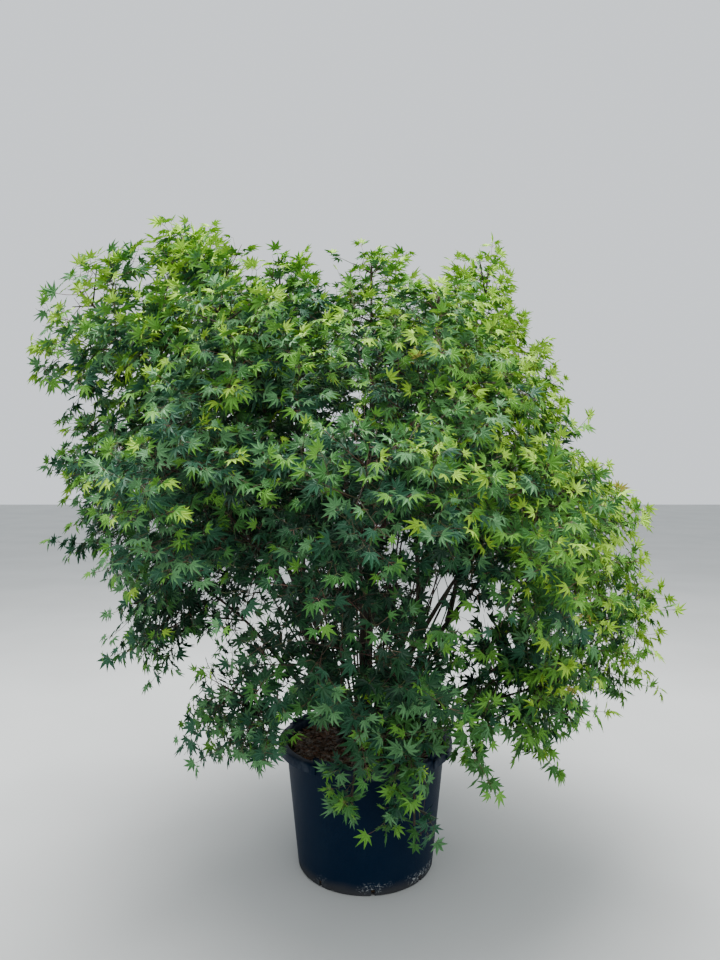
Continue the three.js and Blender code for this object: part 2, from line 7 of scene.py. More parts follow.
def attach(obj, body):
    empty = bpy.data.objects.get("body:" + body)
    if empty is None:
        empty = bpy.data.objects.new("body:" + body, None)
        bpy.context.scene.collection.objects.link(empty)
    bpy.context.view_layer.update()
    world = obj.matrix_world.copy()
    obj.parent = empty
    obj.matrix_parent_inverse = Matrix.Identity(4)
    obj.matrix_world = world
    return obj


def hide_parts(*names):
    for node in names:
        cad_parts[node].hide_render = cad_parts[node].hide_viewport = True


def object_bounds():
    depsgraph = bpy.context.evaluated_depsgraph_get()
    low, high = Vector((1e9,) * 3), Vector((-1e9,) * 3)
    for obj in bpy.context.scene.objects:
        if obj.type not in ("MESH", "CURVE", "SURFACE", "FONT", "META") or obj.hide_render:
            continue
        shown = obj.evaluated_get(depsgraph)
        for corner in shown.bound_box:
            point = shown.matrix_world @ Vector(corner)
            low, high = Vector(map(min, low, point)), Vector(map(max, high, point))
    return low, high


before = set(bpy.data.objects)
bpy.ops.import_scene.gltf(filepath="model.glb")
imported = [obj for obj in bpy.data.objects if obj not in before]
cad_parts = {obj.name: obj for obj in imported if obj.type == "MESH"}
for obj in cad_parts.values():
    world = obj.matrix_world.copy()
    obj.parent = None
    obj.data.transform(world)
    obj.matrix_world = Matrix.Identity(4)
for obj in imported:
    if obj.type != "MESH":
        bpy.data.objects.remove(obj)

cad_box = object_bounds()

# Camera: eye height, a little under three metres in front of the pot's middle,
# level to within a degree, with the wide field of the photograph.
CAMERA_PLACE = (-0.022, -2.914, 1.58)
CAMERA_DIP = math.radians(0.8)
CAMERA_LENS = 27.04
SENSOR = 36.0

camera = bpy.data.objects.new("camera", bpy.data.cameras.new("camera"))
camera.data.lens = CAMERA_LENS
camera.data.sensor_width = SENSOR
camera.location = CAMERA_PLACE
camera.rotation_euler = (math.pi / 2 - CAMERA_DIP, 0, 0)
bpy.context.scene.collection.objects.link(camera)
bpy.context.scene.camera = camera

# Nursery container: one thin-walled moulding of blue-black polyethylene, with its rim rolled
# over and down and eight drainage notches round its foot, dusty and limed where it stands.
POT_HEIGHT = 0.500
RIM_RADIUS = 0.350
BASE_RADIUS = 0.270
WALL_TOP_RADIUS = 0.318
WALL = 0.005
FLOOR = 0.007
BASE_ROUND = 0.010
RIM_BAND = 0.035
RIM_ROUND = 0.006
RIM_THICKNESS = 0.010
NOTCH_COUNT = 8
NOTCH_WIDTH = 0.014
NOTCH_HEIGHT = 0.028
NOTCH_DEPTH = 0.014
NOTCH_OVERCUT = 0.001
FIRST_NOTCH = math.radians(-84.5)
POT_FACETS = 96
EDGE_ROUND = 0.0012
SHARP_ANGLE = math.radians(38)
SMOOTH_ANGLE = math.radians(34)
PLASTIC_COLOUR = (0.0003, 0.0080, 0.0235, 1)
PLASTIC_WORN = (0.0030, 0.0120, 0.0280, 1)
RIM_SCUFFS = (0.048, 0.060, 0.078, 1)
GROUND_DUST = (0.095, 0.085, 0.070, 1)
LIME = (0.36, 0.38, 0.38, 1)
SCUFFS_START = (0.462, 0.466)
DUST_END = (0.022, 0.072)
LIME_START = (0.008, 0.020)
LIME_END = (0.034, 0.060)


class Tap:
    """One output of a shader node. Sums on it add Math nodes, and add() any other node."""

    def __init__(self, tree, socket):
        self.tree = tree
        self.socket = socket

    def add(self, kind, settings=None, inputs=None, output=0):
        """Adds a node: its settings first, then the values or links of its sockets."""
        node = self.tree.nodes.new(kind)
        for key, value in (settings or {}).items():
            setattr(node, key, value)
        for key, value in (inputs or {}).items():
            if isinstance(value, Tap):
                self.tree.links.new(value.socket, node.inputs[key])
            else:
                node.inputs[key].default_value = value
        return Tap(self.tree, node.outputs[output])

    def maths(self, operation, *values):
        return self.add("ShaderNodeMath", {"operation": operation}, dict(enumerate(values)))

    def __add__(self, other):
        return self.maths("ADD", self, other)

    def __sub__(self, other):
        return self.maths("SUBTRACT", self, other)

    def __mul__(self, other):
        return self.maths("MULTIPLY", self, other)

    def __rsub__(self, other):
        return self.maths("SUBTRACT", other, self)

    __radd__ = __add__
    __rmul__ = __mul__

    def between(self, low, high):
        """0 below low, 1 above high and smooth between."""
        inputs = {"Value": self, "From Min": low, "From Max": high}
        return self.add("ShaderNodeMapRange", {"interpolation_type": "SMOOTHSTEP"}, inputs)

    def noise(self, scale, detail=3.0, roughness=0.55):
        """Cloudy values from 0 to 1 over the place that this output gives."""
        inputs = {"Vector": self, "Scale": scale, "Detail": detail, "Roughness": roughness}
        return self.add("ShaderNodeTexNoise", None, inputs)

    def stretched(self, scale):
        """The place that this output gives, scaled along its three axes."""
        return self.add("ShaderNodeMapping", None, {"Vector": self, "Scale": scale})

    def mix(self, first, second):
        """A blend of two colours, by this output; a Mix node's colours are its sockets 6 and 7."""
        return self.add("ShaderNodeMix", {"data_type": "RGBA"}, {0: self, 6: first, 7: second}, 2)


def new_finish(name, roughness, specular=0.5):
    """A material with one Principled shader, and the place on the piece that its pattern reads."""
    material = bpy.data.materials.new(name)
    material.use_nodes = True
    shader = material.node_tree.nodes["Principled BSDF"]
    shader.inputs["Roughness"].default_value = roughness
    shader.inputs["Specular IOR Level"].default_value = specular
    coordinates = material.node_tree.nodes.new("ShaderNodeTexCoord")
    return material, shader, Tap(material.node_tree, coordinates.outputs["Object"])


def link(shader, name, tap):
    """Feeds one socket of a shader."""
    tap.tree.links.new(tap.socket, shader.inputs[name])


def relief(shader, height, depth):
    """Turns a height pattern into a bump on the shader, depth in metres."""
    inputs = {"Height": height, "Distance": depth, "Strength": 1.0}
    link(shader, "Normal", height.add("ShaderNodeBump", None, inputs))


plastic, shader, place = new_finish("pot_plastic", 0.55, 0.08)
height = place.add("ShaderNodeSeparateXYZ", None, {"Vector": place}, "Z")
clouds = place.noise(7.0, 4.0)
scratches = place.stretched((60.0, 60.0, 5.0)).noise(1.0, 3.0)
colour = (clouds.between(0.42, 0.75) * 0.55).mix(PLASTIC_COLOUR, PLASTIC_WORN)
colour = (scratches.between(0.60, 0.78) * 0.30).mix(colour, PLASTIC_WORN)
on_rim = height.between(*SCUFFS_START)
rim_wear = place.noise(22.0, 5.0).between(0.40, 0.68)
colour = (on_rim * rim_wear * 0.55).mix(colour, RIM_SCUFFS)
near_ground = 1 - (height + clouds * 0.035).between(*DUST_END)
colour = (near_ground * 0.40).mix(colour, GROUND_DUST)
lime_band = height.between(*LIME_START) * (1 - height.between(*LIME_END))
lime_spots = place.stretched((1.0, 1.0, 1.4)).noise(110.0, 4.0, 0.7).between(0.53, 0.63)
lime_places = place.noise(6.5, 2.0).between(0.46, 0.60)
colour = (lime_band * lime_spots * lime_places).mix(colour, LIME)
link(shader, "Base Color", colour)
link(shader, "Roughness", 0.42 + clouds * 0.16 + near_ground * 0.3 + on_rim * rim_wear * 0.1)
relief(shader, place.noise(260.0, 2.0) + scratches * 0.6 + lime_spots * lime_band, 0.0006)


def wall_radius(level):
    """The outer radius of the pot's wall at a height."""
    return BASE_RADIUS + (WALL_TOP_RADIUS - BASE_RADIUS) * level / (POT_HEIGHT - RIM_BAND)


def only(piece):
    """Selects one piece and makes it the active one."""
    bpy.ops.object.select_all(action="DESELECT")
    piece.select_set(True)
    bpy.context.view_layer.objects.active = piece


def turned(name, outline, facets):
    """A closed turned body: a disc extruded up and down through an outline of radii and heights."""
    bpy.ops.object.select_all(action="DESELECT")
    radius, level = outline[0]
    place = (0, 0, level)
    bpy.ops.mesh.primitive_circle_add(vertices=facets, radius=radius, fill_type="NGON", location=place)
    piece = bpy.context.object
    piece.name = name
    bpy.ops.object.mode_set(mode="EDIT")
    bpy.ops.mesh.select_all(action="SELECT")
    for next_radius, next_level in outline[1:]:
        rise = {"value": (0, 0, next_level - level)}
        bpy.ops.mesh.extrude_region_move(TRANSFORM_OT_translate=rise)
        widen = next_radius / radius
        bpy.ops.transform.resize(value=(widen, widen, 1), center_override=(0, 0, next_level))
        radius, level = next_radius, next_level
    bpy.ops.mesh.select_all(action="SELECT")
    bpy.ops.mesh.normals_make_consistent(inside=False)
    bpy.ops.object.mode_set(mode="OBJECT")
    bpy.ops.object.transform_apply(location=True, rotation=True, scale=True)
    return piece


def bevelled(piece, width, steps):
    """Rounds the sharp edges of a piece and shades it smooth between them."""
    only(piece)
    bevel = piece.modifiers.new("bevel", "BEVEL")
    bevel.width = width
    bevel.segments = steps
    bevel.limit_method = "ANGLE"
    bevel.angle_limit = SHARP_ANGLE
    bpy.ops.object.modifier_apply(modifier=bevel.name)
    bpy.ops.object.shade_smooth_by_angle(angle=SMOOTH_ANGLE)


def finished(piece, material, nodes):
    """Gives a piece its material and its place in the plant."""
    piece.data.materials.clear()
    piece.data.materials.append(material)
    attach(piece, "root")
    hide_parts(*nodes)
    return piece


lip = RIM_RADIUS - WALL
wall_top = wall_radius(POT_HEIGHT)
pot_outline = [
    (BASE_RADIUS - BASE_ROUND, 0), (BASE_RADIUS - BASE_ROUND * 0.29, BASE_ROUND * 0.29),
    (wall_radius(BASE_ROUND), BASE_ROUND), (wall_radius(0.050), 0.050),
    (wall_radius(POT_HEIGHT - RIM_THICKNESS), POT_HEIGHT - RIM_THICKNESS),
    (lip, POT_HEIGHT - RIM_THICKNESS), (lip, POT_HEIGHT - RIM_BAND), (RIM_RADIUS, POT_HEIGHT - RIM_BAND),
    (RIM_RADIUS, POT_HEIGHT - RIM_ROUND), (RIM_RADIUS - RIM_ROUND * 0.4, POT_HEIGHT - RIM_ROUND * 0.4),
    (RIM_RADIUS - RIM_ROUND, POT_HEIGHT), (wall_top - WALL + RIM_ROUND, POT_HEIGHT),
    (wall_top - WALL, POT_HEIGHT - RIM_ROUND), (wall_radius(BASE_ROUND + FLOOR) - WALL, BASE_ROUND + FLOOR),
    (BASE_RADIUS - BASE_ROUND - WALL, FLOOR),
]
pot = turned("pot_shell", pot_outline, POT_FACETS)

bpy.ops.object.select_all(action="DESELECT")
cutters = []
for index in range(NOTCH_COUNT):
    azimuth = FIRST_NOTCH + index * 2 * math.pi / NOTCH_COUNT
    x, y = BASE_RADIUS * math.cos(azimuth), BASE_RADIUS * math.sin(azimuth)
    bpy.ops.mesh.primitive_cube_add(
        size=1, location=(x, y, NOTCH_HEIGHT / 2 - NOTCH_OVERCUT), rotation=(0, 0, azimuth),
        scale=(2 * NOTCH_DEPTH, NOTCH_WIDTH, NOTCH_HEIGHT + 2 * NOTCH_OVERCUT))
    cutters.append(bpy.context.object)
for cutter in cutters:
    cutter.select_set(True)
bpy.ops.object.join()
notches = bpy.context.object
only(pot)
cut = pot.modifiers.new("notches", "BOOLEAN")
cut.operation = "DIFFERENCE"
cut.solver = "EXACT"
cut.object = notches
bpy.ops.object.modifier_apply(modifier=cut.name)
bpy.data.objects.remove(notches)
bevelled(pot, EDGE_ROUND, 2)
finished(pot, plastic, ["pot"])

# Grip loops: four bent bars of the same plastic, moulded with the rim. Their posts run
# down the rim's outside as flat tabs. One is modelled and turned to its four places.
HANDLE_AZIMUTHS = {"front_left": -115, "front_right": -35, "back_right": 65, "back_left": 145}
HANDLE_WIDTH = 0.116
HANDLE_HEIGHT = 0.045
HANDLE_BAR = 0.017
HANDLE_POST = 0.018
HANDLE_DEPTH = 0.016
HANDLE_RING = (RIM_RADIUS + WALL_TOP_RADIUS - WALL) / 2
TAB_THICKNESS = 0.004
TAB_SHORTENING = 0.004
HANDLE_SINK = 0.001
HANDLE_ROUND = 0.003

bend = HANDLE_BAR * 0.35
start = HANDLE_WIDTH / 2 - HANDLE_POST / 2
shoulder = HANDLE_HEIGHT - HANDLE_POST - bend
bpy.ops.object.select_all(action="DESELECT")
bpy.ops.mesh.primitive_plane_add(size=1, location=(HANDLE_RING, -start, POT_HEIGHT - HANDLE_SINK))
handle = bpy.context.object
bpy.ops.object.mode_set(mode="EDIT")
bpy.ops.mesh.select_all(action="SELECT")
foot = (HANDLE_RING, -start, POT_HEIGHT)
bpy.ops.transform.resize(value=(HANDLE_DEPTH, HANDLE_POST, 1), center_override=foot)
bpy.ops.mesh.extrude_region_move(TRANSFORM_OT_translate={"value": (0, 0, shoulder + HANDLE_SINK)})
turn_centre = -start + HANDLE_POST / 2 + bend
across, down = (0, -2 * turn_centre, 0), (0, 0, -shoulder - HANDLE_SINK)
for centre_y, run in ((turn_centre, across), (-turn_centre, down)):
    centre = (HANDLE_RING, centre_y, POT_HEIGHT + shoulder)
    bpy.ops.mesh.spin(steps=5, angle=math.pi / 2, center=centre, axis=(-1, 0, 0))
    bpy.ops.mesh.extrude_region_move(TRANSFORM_OT_translate={"value": run})
for side in (-1, 1):
    tab = (RIM_RADIUS, side * start, POT_HEIGHT - RIM_BAND / 2)
    bpy.ops.mesh.primitive_cube_add(size=1, location=tab)
    tab_size = (2 * TAB_THICKNESS, HANDLE_POST, RIM_BAND - TAB_SHORTENING)
    bpy.ops.transform.resize(value=tab_size, center_override=tab)
bpy.ops.mesh.select_all(action="SELECT")
bpy.ops.mesh.remove_doubles(threshold=0.0001)
bpy.ops.mesh.normals_make_consistent(inside=False)
bpy.ops.object.mode_set(mode="OBJECT")
bpy.ops.object.transform_apply(location=True, rotation=True, scale=True)
bevelled(handle, HANDLE_ROUND, 3)

for name, azimuth in HANDLE_AZIMUTHS.items():
    loop = bpy.data.objects.new("grip_" + name, handle.data.copy())
    bpy.context.scene.collection.objects.link(loop)
    loop.data.transform(Matrix.Rotation(math.radians(azimuth), 4, "Z"))
    finished(loop, plastic, ["handle_" + name])
bpy.data.objects.remove(handle)

# Compost: moist dark bark compost that fills the pot to just below its rim, heaped a
# little towards the stems, with coarse chips of bark strewn over it as a mulch.
SOIL_TOP = 0.472
SOIL_EDGE = 0.462
SOIL_FLAT_RADIUS = 0.190
SOIL_FACETS = 64
SOIL_SMOOTH_ANGLE = math.radians(40)
SEAT_GAP = 0.0003
CHIP_COUNT = 2600
CHIP_FIELD = 0.300
CHIP_SIZES = ((0.014, 0.046), (0.007, 0.018), (0.0025, 0.006))
CHIP_UNEVENNESS = (0.72, 1.12)
CHIP_TILT = 0.22
CHIP_ROLL = 0.30
CHIP_LAYER = 0.011
SOIL_HEAP = (0.003, 0.009)
COMPOST_COLOURS = ((0.010, 0.007, 0.005, 1), (0.050, 0.030, 0.018, 1))
CHIP_TONES = {
    "brown": ((0.100, 0.056, 0.030, 1), (0.032, 0.020, 0.013, 1)),
    "russet": ((0.135, 0.066, 0.034, 1), (0.048, 0.026, 0.015, 1)),
    "grey": ((0.180, 0.145, 0.112, 1), (0.060, 0.050, 0.040, 1)),
}

compost, shader, place = new_finish("compost", 0.95, 0.2)
crumbs = place.noise(70.0, 5.0, 0.65)
link(shader, "Base Color", crumbs.between(0.35, 0.7).mix(*COMPOST_COLOURS))
relief(shader, crumbs + place.noise(240.0, 3.0) * 0.4, 0.004)

inner = wall_radius(SOIL_EDGE) - WALL - SEAT_GAP
soil_outline = [
    (BASE_RADIUS - BASE_ROUND - WALL - SEAT_GAP, FLOOR + SEAT_GAP),
    (wall_radius(BASE_ROUND + FLOOR) - WALL - SEAT_GAP, BASE_ROUND + FLOOR + SEAT_GAP), (inner, SOIL_EDGE),
    (inner * 0.95, SOIL_EDGE + 0.002), (inner * 0.8, SOIL_EDGE + 0.005), (SOIL_FLAT_RADIUS, SOIL_TOP - 0.001),
    (0.140, SOIL_TOP), (0.090, SOIL_TOP + 0.003), (0.040, SOIL_TOP + 0.004),
]
soil = turned("compost_fill", soil_outline, SOIL_FACETS)
bpy.ops.object.shade_smooth_by_angle(angle=SOIL_SMOOTH_ANGLE)
finished(soil, compost, ["soil"])


def mesh_piece(name, points, corners, smooth=False):
    """A piece from an array of points and an array of triangles or quads."""
    mesh = bpy.data.meshes.new(name)
    sides = corners.shape[1]
    mesh.vertices.add(len(points))
    mesh.vertices.foreach_set("co", points.astype(np.float32).ravel())
    mesh.loops.add(corners.size)
    mesh.loops.foreach_set("vertex_index", corners.astype(np.int32).ravel())
    mesh.polygons.add(len(corners))
    mesh.polygons.foreach_set("loop_start", np.arange(0, corners.size, sides, dtype=np.int32))
    mesh.polygons.foreach_set("use_smooth", np.full(len(corners), smooth))
    mesh.update(calc_edges=True)
    piece = bpy.data.objects.new(name, mesh)
    bpy.context.scene.collection.objects.link(piece)
    return piece


def strew_chips(count, rng):
    """Bark chips: split flakes with uneven ends, lying nearly flat and over one another."""
    cube = np.array([[x, y, z] for z in (-1, 1) for y in (-1, 1) for x in (-1, 1)], float) / 2
    faces = np.array([[0, 2, 3, 1], [4, 5, 7, 6], [0, 1, 5, 4], [2, 6, 7, 3], [0, 4, 6, 2], [1, 3, 7, 5]])
    size = np.stack([rng.uniform(*limits, count) for limits in CHIP_SIZES], 1)
    corners = cube[None] * size[:, None] * rng.uniform(*CHIP_UNEVENNESS, (count, 8, 3))
    yaw = rng.uniform(0, 2 * math.pi, count)
    tilt = rng.normal(0, CHIP_TILT, count)
    roll = rng.normal(0, CHIP_ROLL, count)
    places = [corners[..., 0], corners[..., 1], corners[..., 2]]
    for first, second, angle in ((0, 2, tilt), (1, 2, roll), (0, 1, yaw)):
        p, q, cosine, sine = places[first], places[second], np.cos(angle)[:, None], np.sin(angle)[:, None]
        places[first], places[second] = p * cosine - q * sine, p * sine + q * cosine
    reach = CHIP_FIELD * np.sqrt(rng.uniform(0.02, 1, count)) * rng.uniform(0.9, 1, count)
    azimuth = rng.uniform(0, 2 * math.pi, count)
    ground = SOIL_TOP + SOIL_HEAP[0] - SOIL_HEAP[1] * (reach / CHIP_FIELD) ** 2
    middle = np.stack([reach * np.cos(azimuth), reach * np.sin(azimuth),
                       ground + rng.uniform(0, CHIP_LAYER, count)], 1)
    points = (np.stack(places, -1) + middle[:, None]).reshape(-1, 3)
    return points, (faces[None] + 8 * np.arange(count)[:, None, None]).reshape(-1, 4)


rng = np.random.default_rng(11)
for tone, (light, dark) in CHIP_TONES.items():
    chip_bark, shader, place = new_finish("chips_" + tone, 0.85, 0.3)
    grain = place.noise(55.0, 3.0) * 0.6 + place.noise(400.0, 3.0) * 0.4
    link(shader, "Base Color", grain.between(0.36, 0.64).mix(dark, light))
    relief(shader, grain, 0.0015)
    points, corners = strew_chips(CHIP_COUNT // len(CHIP_TONES), rng)
    finished(mesh_piece("mulch_" + tone, points, corners), chip_bark, ["soil"])

# Stems: a clump of thin-barked maple stems from one stool, each tapering evenly. The bark is smooth
# and almost black-brown with a green cast, lightly ribbed along the stem and ringed at old joints.
TRUNK_FOOT = SOIL_TOP + SEAT_GAP
TRUNK_BENDS = [(0.004, 0.002, 0.700), (0.010, -0.004, 1.060), (0.024, 0, 1.440)]
TRUNK_TIP = (0.025, 0.070, 1.960)
TRUNK_TIP_RADIUS = 0.007
TRUNK_RADIUS = 0.027
STOOL_RADIUS = 0.080
STOOL_HEIGHT = 0.042
ROOT_COUNT = 6
ROOT_SPREAD = 0.25
ROOT_REACH = 0.142
ROOT_UNEVENNESS = 0.16
ROOT_RADIUS = 0.021
ROOT_RISE = 0.046
ROOT_STEPS = 16
ROOT_FACETS = 16
STOOL_RISES = (-0.0003, 0.010, 0.020, 0.032, 0.046, 0.064, 0.086, 0.115)
STOOL_END = 0.130
STOOL_FACETS = 40
FLUTE_DEPTH = 0.11
FLUTE_HEIGHT = 0.09
BOUGH_FOOT_RADIUS = 0.046
BOUGH_FOOT_RISE = 0.034
FIRST_BOUGH = 0.3
BOUGH_TAPER = 0.42
COLLAR_SWELL = 0.3
COLLAR_LENGTH = 0.045
LIMB_STEPS = 5
TRUNK_STEPS = 8
FINE_STEPS = 48
LIMB_FACETS = 14
GRAIN_RADIUS = 0.02
TRUNK_RIBS = 0.035
ROOT_RIBS = 0.06
LIMB_RIBS = 0.05
RIB_TWIST = 5.0
RIB_SWINGS = (4, 9)
JOINT_SPACING = (0.075, 0.110)
JOINT_SWELL = 0.07
JOINT_WIDTH = 0.06
BARK_UNEVENNESS = 0.012
BARK_FURROWS = (0.014, 0.011, 0.009, 1)
BARK_RIDGES = (0.062, 0.049, 0.038, 1)
BARK_GREEN = (0.048, 0.056, 0.030, 1)
BARK_RUSSET = (0.085, 0.038, 0.028, 1)
BARK_PORES = (0.140, 0.120, 0.095, 1)
BOUGHS = [
    # name, parent and how far up it, girth, lift, tip, centre and half size of its foliage, in mm
    ("right", None, 0, 14, 0.62, (535, 60, 1190), (755, 50, 1380), (315, 430, 350)),
    ("back_right", None, 0, 14, 0.6, (370, 430, 1260), (540, 640, 1450), (420, 400, 400)),
    ("back", None, 0, 13, 0.62, (10, 590, 1270), (0, 800, 1450), (400, 360, 400)),
    ("back_left", None, 0, 14, 0.6, (-430, 440, 1260), (-620, 630, 1450), (430, 400, 400)),
    ("left", None, 0, 17, 0.6, (-775, 10, 1850), (-960, -40, 2080), (350, 390, 430)),
    ("left_low", None, 0, 13, 0.42, (-430, -70, 935), (-635, -120, 1110), (310, 390, 320)),
    ("front_left", None, 0, 14, 0.6, (-335, -440, 1260), (-490, -600, 1450), (380, 390, 390)),
    ("front", None, 0, 13, 0.64, (-20, -560, 1270), (-10, -760, 1440), (400, 360, 400)),
    ("front_right", None, 0, 14, 0.6, (300, -420, 1190), (455, -580, 1360), (360, 370, 400)),
    ("right_low", None, 0, 13, 0.5, (625, -60, 850), (840, -60, 980), (335, 350, 285)),
    ("top_right", "trunk", 0.62, 11, 0.6, (360, 10, 1850), (425, 0, 2110), (215, 380, 430)),
    ("top_left", "trunk", 0.66, 11, 0.6, (-240, -30, 1840), (-285, -50, 2080), (240, 380, 440)),
    ("left_peak", "left", 0.66, 12, 0.55, (-595, 60, 1920), (-670, 40, 2220), (260, 360, 480)),
    ("left_middle", "left", 0.42, 11, 0.5, (-700, -60, 1390), (-860, -60, 1580), (320, 400, 390)),
    ("low_left_spray", "left_low", 0.3, 8, 0.6, (-300, -190, 670), (-415, -275, 745), (215, 250, 225)),
    ("front_top_left", "front_left", 0.62, 11, 0.5, (-330, -340, 1660), (-410, -470, 1880), (380, 390, 420)),
    ("front_top", "front", 0.6, 11, 0.45, (115, -340, 1650), (170, -470, 1880), (395, 390, 420)),
    ("front_low", "front", 0.36, 9, 0.6, (-60, -420, 890), (-70, -590, 980), (390, 330, 270)),
    ("rim_spray", "front", 0.16, 6, 0.9, (115, -340, 650), (145, -425, 475), (125, 120, 215)),
    ("rim_spray_left", "front_left", 0.14, 5, 0.9, (-40, -345, 640), (-50, -425, 490), (90, 105, 150)),
    ("low_right_spray", "front_right", 0.3, 9, 0.7, (320, -290, 740), (455, -370, 790), (290, 290, 330)),
    ("inner_spray", "front_right", 0.16, 7, 0.6, (100, -175, 670), (140, -270, 750), (270, 230, 220)),
    ("right_shoulder", "right", 0.6, 11, 0.5, (485, 30, 1620), (560, 20, 1830), (240, 410, 370)),
    ("back_top_right", "back_right", 0.62, 11, 0.5, (210, 380, 1740), (260, 520, 1990), (400, 390, 400)),
    ("back_low", "back", 0.36, 9, 0.6, (40, 430, 890), (0, 620, 980), (480, 370, 290)),
    ("back_top_left", "back_left", 0.62, 11, 0.5, (-280, 380, 1740), (-350, 520, 2000), (400, 390, 400)),
]
CROWN_TOP = ("top_centre", (25, 60, 2120), (250, 400, 460))
STOOL_BOUGHS = sum(1 for bough in BOUGHS if bough[1] is None)
UP = np.array([0.0, 0.0, 1.0])


def unit(vector):
    return vector / np.linalg.norm(vector)


def bowed(start, bend, end, steps):
    """Points of an arc from start to end that is drawn towards bend."""
    t = np.linspace(0, 1, steps + 1)[:, None]
    return (1 - t) ** 2 * start + 2 * t * (1 - t) * bend + t ** 2 * end


def arc_points(foot, tip, lift, steps):
    """Points of an arc from one end to the other; lift is the share of the rise gained half way out."""
    foot, tip = np.array(foot, float), np.array(tip, float)
    middle = (foot + tip) / 2
    middle[2] = foot[2] + lift * (tip[2] - foot[2])
    return bowed(foot, middle, tip, steps)


def curve_through(knots, steps):
    """Points of a smooth curve through knots, its pace set by the root of the distance between them."""
    knots = np.array(knots, float)
    ends = np.vstack([2 * knots[0] - knots[1], knots, 2 * knots[-1] - knots[-2]])
    points = []
    for i in range(steps + 1):
        place = i / steps * (len(knots) - 1)
        span = min(int(place), len(knots) - 2)
        t = place - span
        a, b, c, d = ends[span:span + 4]
        ab, bc, cd = [np.linalg.norm(q - p) ** 0.5 for p, q in ((a, b), (b, c), (c, d))]
        out = ((b - a) / ab - (c - a) / (ab + bc) + (c - b) / bc) * bc
        into = ((c - b) / bc - (d - b) / (bc + cd) + (d - c) / cd) * bc
        bow, twist = 3 * (c - b) - 2 * out - into, 2 * (b - c) + out + into
        points.append(b + out * t + bow * t ** 2 + twist * t ** 3)
    return np.array(points)


def point_along(points, share):
    """A place along a chain of points, as a share of the way."""
    place = min(share, 1) * (len(points) - 1)
    step = min(int(place), len(points) - 2)
    return points[step] + (points[step + 1] - points[step]) * (place - step)


def trunk_line(steps):
    return curve_through([(0, 0, TRUNK_FOOT), *TRUNK_BENDS, TRUNK_TIP], steps)


def trunk_radius(rise):
    """The trunk's radius at a height above the compost: a wide stool that narrows to an even taper."""
    rise = np.maximum(rise, 0)
    share = np.minimum(1, rise / (TRUNK_TIP[2] - TRUNK_FOOT))
    stool = (STOOL_RADIUS - TRUNK_RADIUS) * np.exp(-((rise / STOOL_HEIGHT) ** 1.3))
    return TRUNK_RADIUS + (TRUNK_TIP_RADIUS - TRUNK_RADIUS) * share + stool


def bough_radii(points, girth, swell):
    """Radii along a bough: an even taper, with a swollen collar where it leaves another limb."""
    share = np.linspace(0, 1, len(points))
    length = np.linalg.norm(points[-1] - points[0])
    collar = 1 + swell * np.exp(-share * length / COLLAR_LENGTH)
    return girth * (1 - (1 - BOUGH_TAPER) * share) * collar


def limb_frames(points):
    """Directions along a limb and two square to it, at each of its points."""
    ahead = np.gradient(points, axis=0)
    ahead /= np.linalg.norm(ahead, axis=1)[:, None]
    normal = np.array([1.0, 0, 0])
    normals = []
    for direction in ahead:
        normal = unit(normal - direction * normal.dot(direction))
        normals.append(normal)
    normals = np.array(normals)
    return ahead, normals, np.cross(ahead, normals)


def bark_tube(points, radii, facets, rng, ribs):
    """The points, faces and grain of a limb with its relief: ribs, old joints and slow swellings."""
    _, normals, sides = limb_frames(points)
    turn = np.linspace(0, 2 * math.pi, facets, endpoint=False)
    steps = np.linalg.norm(np.diff(points, axis=0), axis=1)
    along = np.concatenate([[0], np.cumsum(steps)])
    shape = np.ones((len(points), facets))
    for lobes in (2, 3, 5):
        phase, twist = rng.uniform(0, 2 * math.pi), rng.normal(0, RIB_TWIST)
        swing = np.sin(along[:, None] * rng.uniform(*RIB_SWINGS) + rng.uniform(0, 6))
        shape += ribs * np.sin(lobes * turn[None] + phase + twist * along[:, None]) * (0.65 + 0.35 * swing)
    joint = np.abs((along / rng.uniform(*JOINT_SPACING) + rng.uniform(0, 1)) % 1 - 0.5)
    shape += JOINT_SWELL * np.exp(-((joint / JOINT_WIDTH) ** 2))[:, None]
    shape += rng.normal(0, BARK_UNEVENNESS, shape.shape)
    ring = normals[:, None] * np.cos(turn)[None, :, None] + sides[:, None] * np.sin(turn)[None, :, None]
    vertices = points[:, None] + ring * (radii[:, None] * shape)[..., None]
    round_it = [np.cos(turn) * GRAIN_RADIUS, np.sin(turn) * GRAIN_RADIUS, along[:, None]]
    grain = np.stack([np.broadcast_to(place, shape.shape) for place in round_it], -1)
    return vertices.reshape(-1, 3), tube_faces(len(points), facets), grain.reshape(-1, 3)


def tube_faces(rings, facets):
    """Quads between the rings of a tube, all facing out."""
    ring, side = np.meshgrid(np.arange(rings - 1), np.arange(facets), indexing="ij")
    after = (side + 1) % facets
    first = ring * facets
    quads = np.stack([first + side, first + after, first + facets + after, first + facets + side], -1)
    return quads.reshape(-1, 4)


def with_grain(piece, grain):
    """Keeps the place round and along the wood on each vertex, for the bark's pattern."""
    attribute = piece.data.attributes.new("grain", "FLOAT_VECTOR", "POINT")
    attribute.data.foreach_set("vector", grain.astype(np.float32).ravel())
    return piece


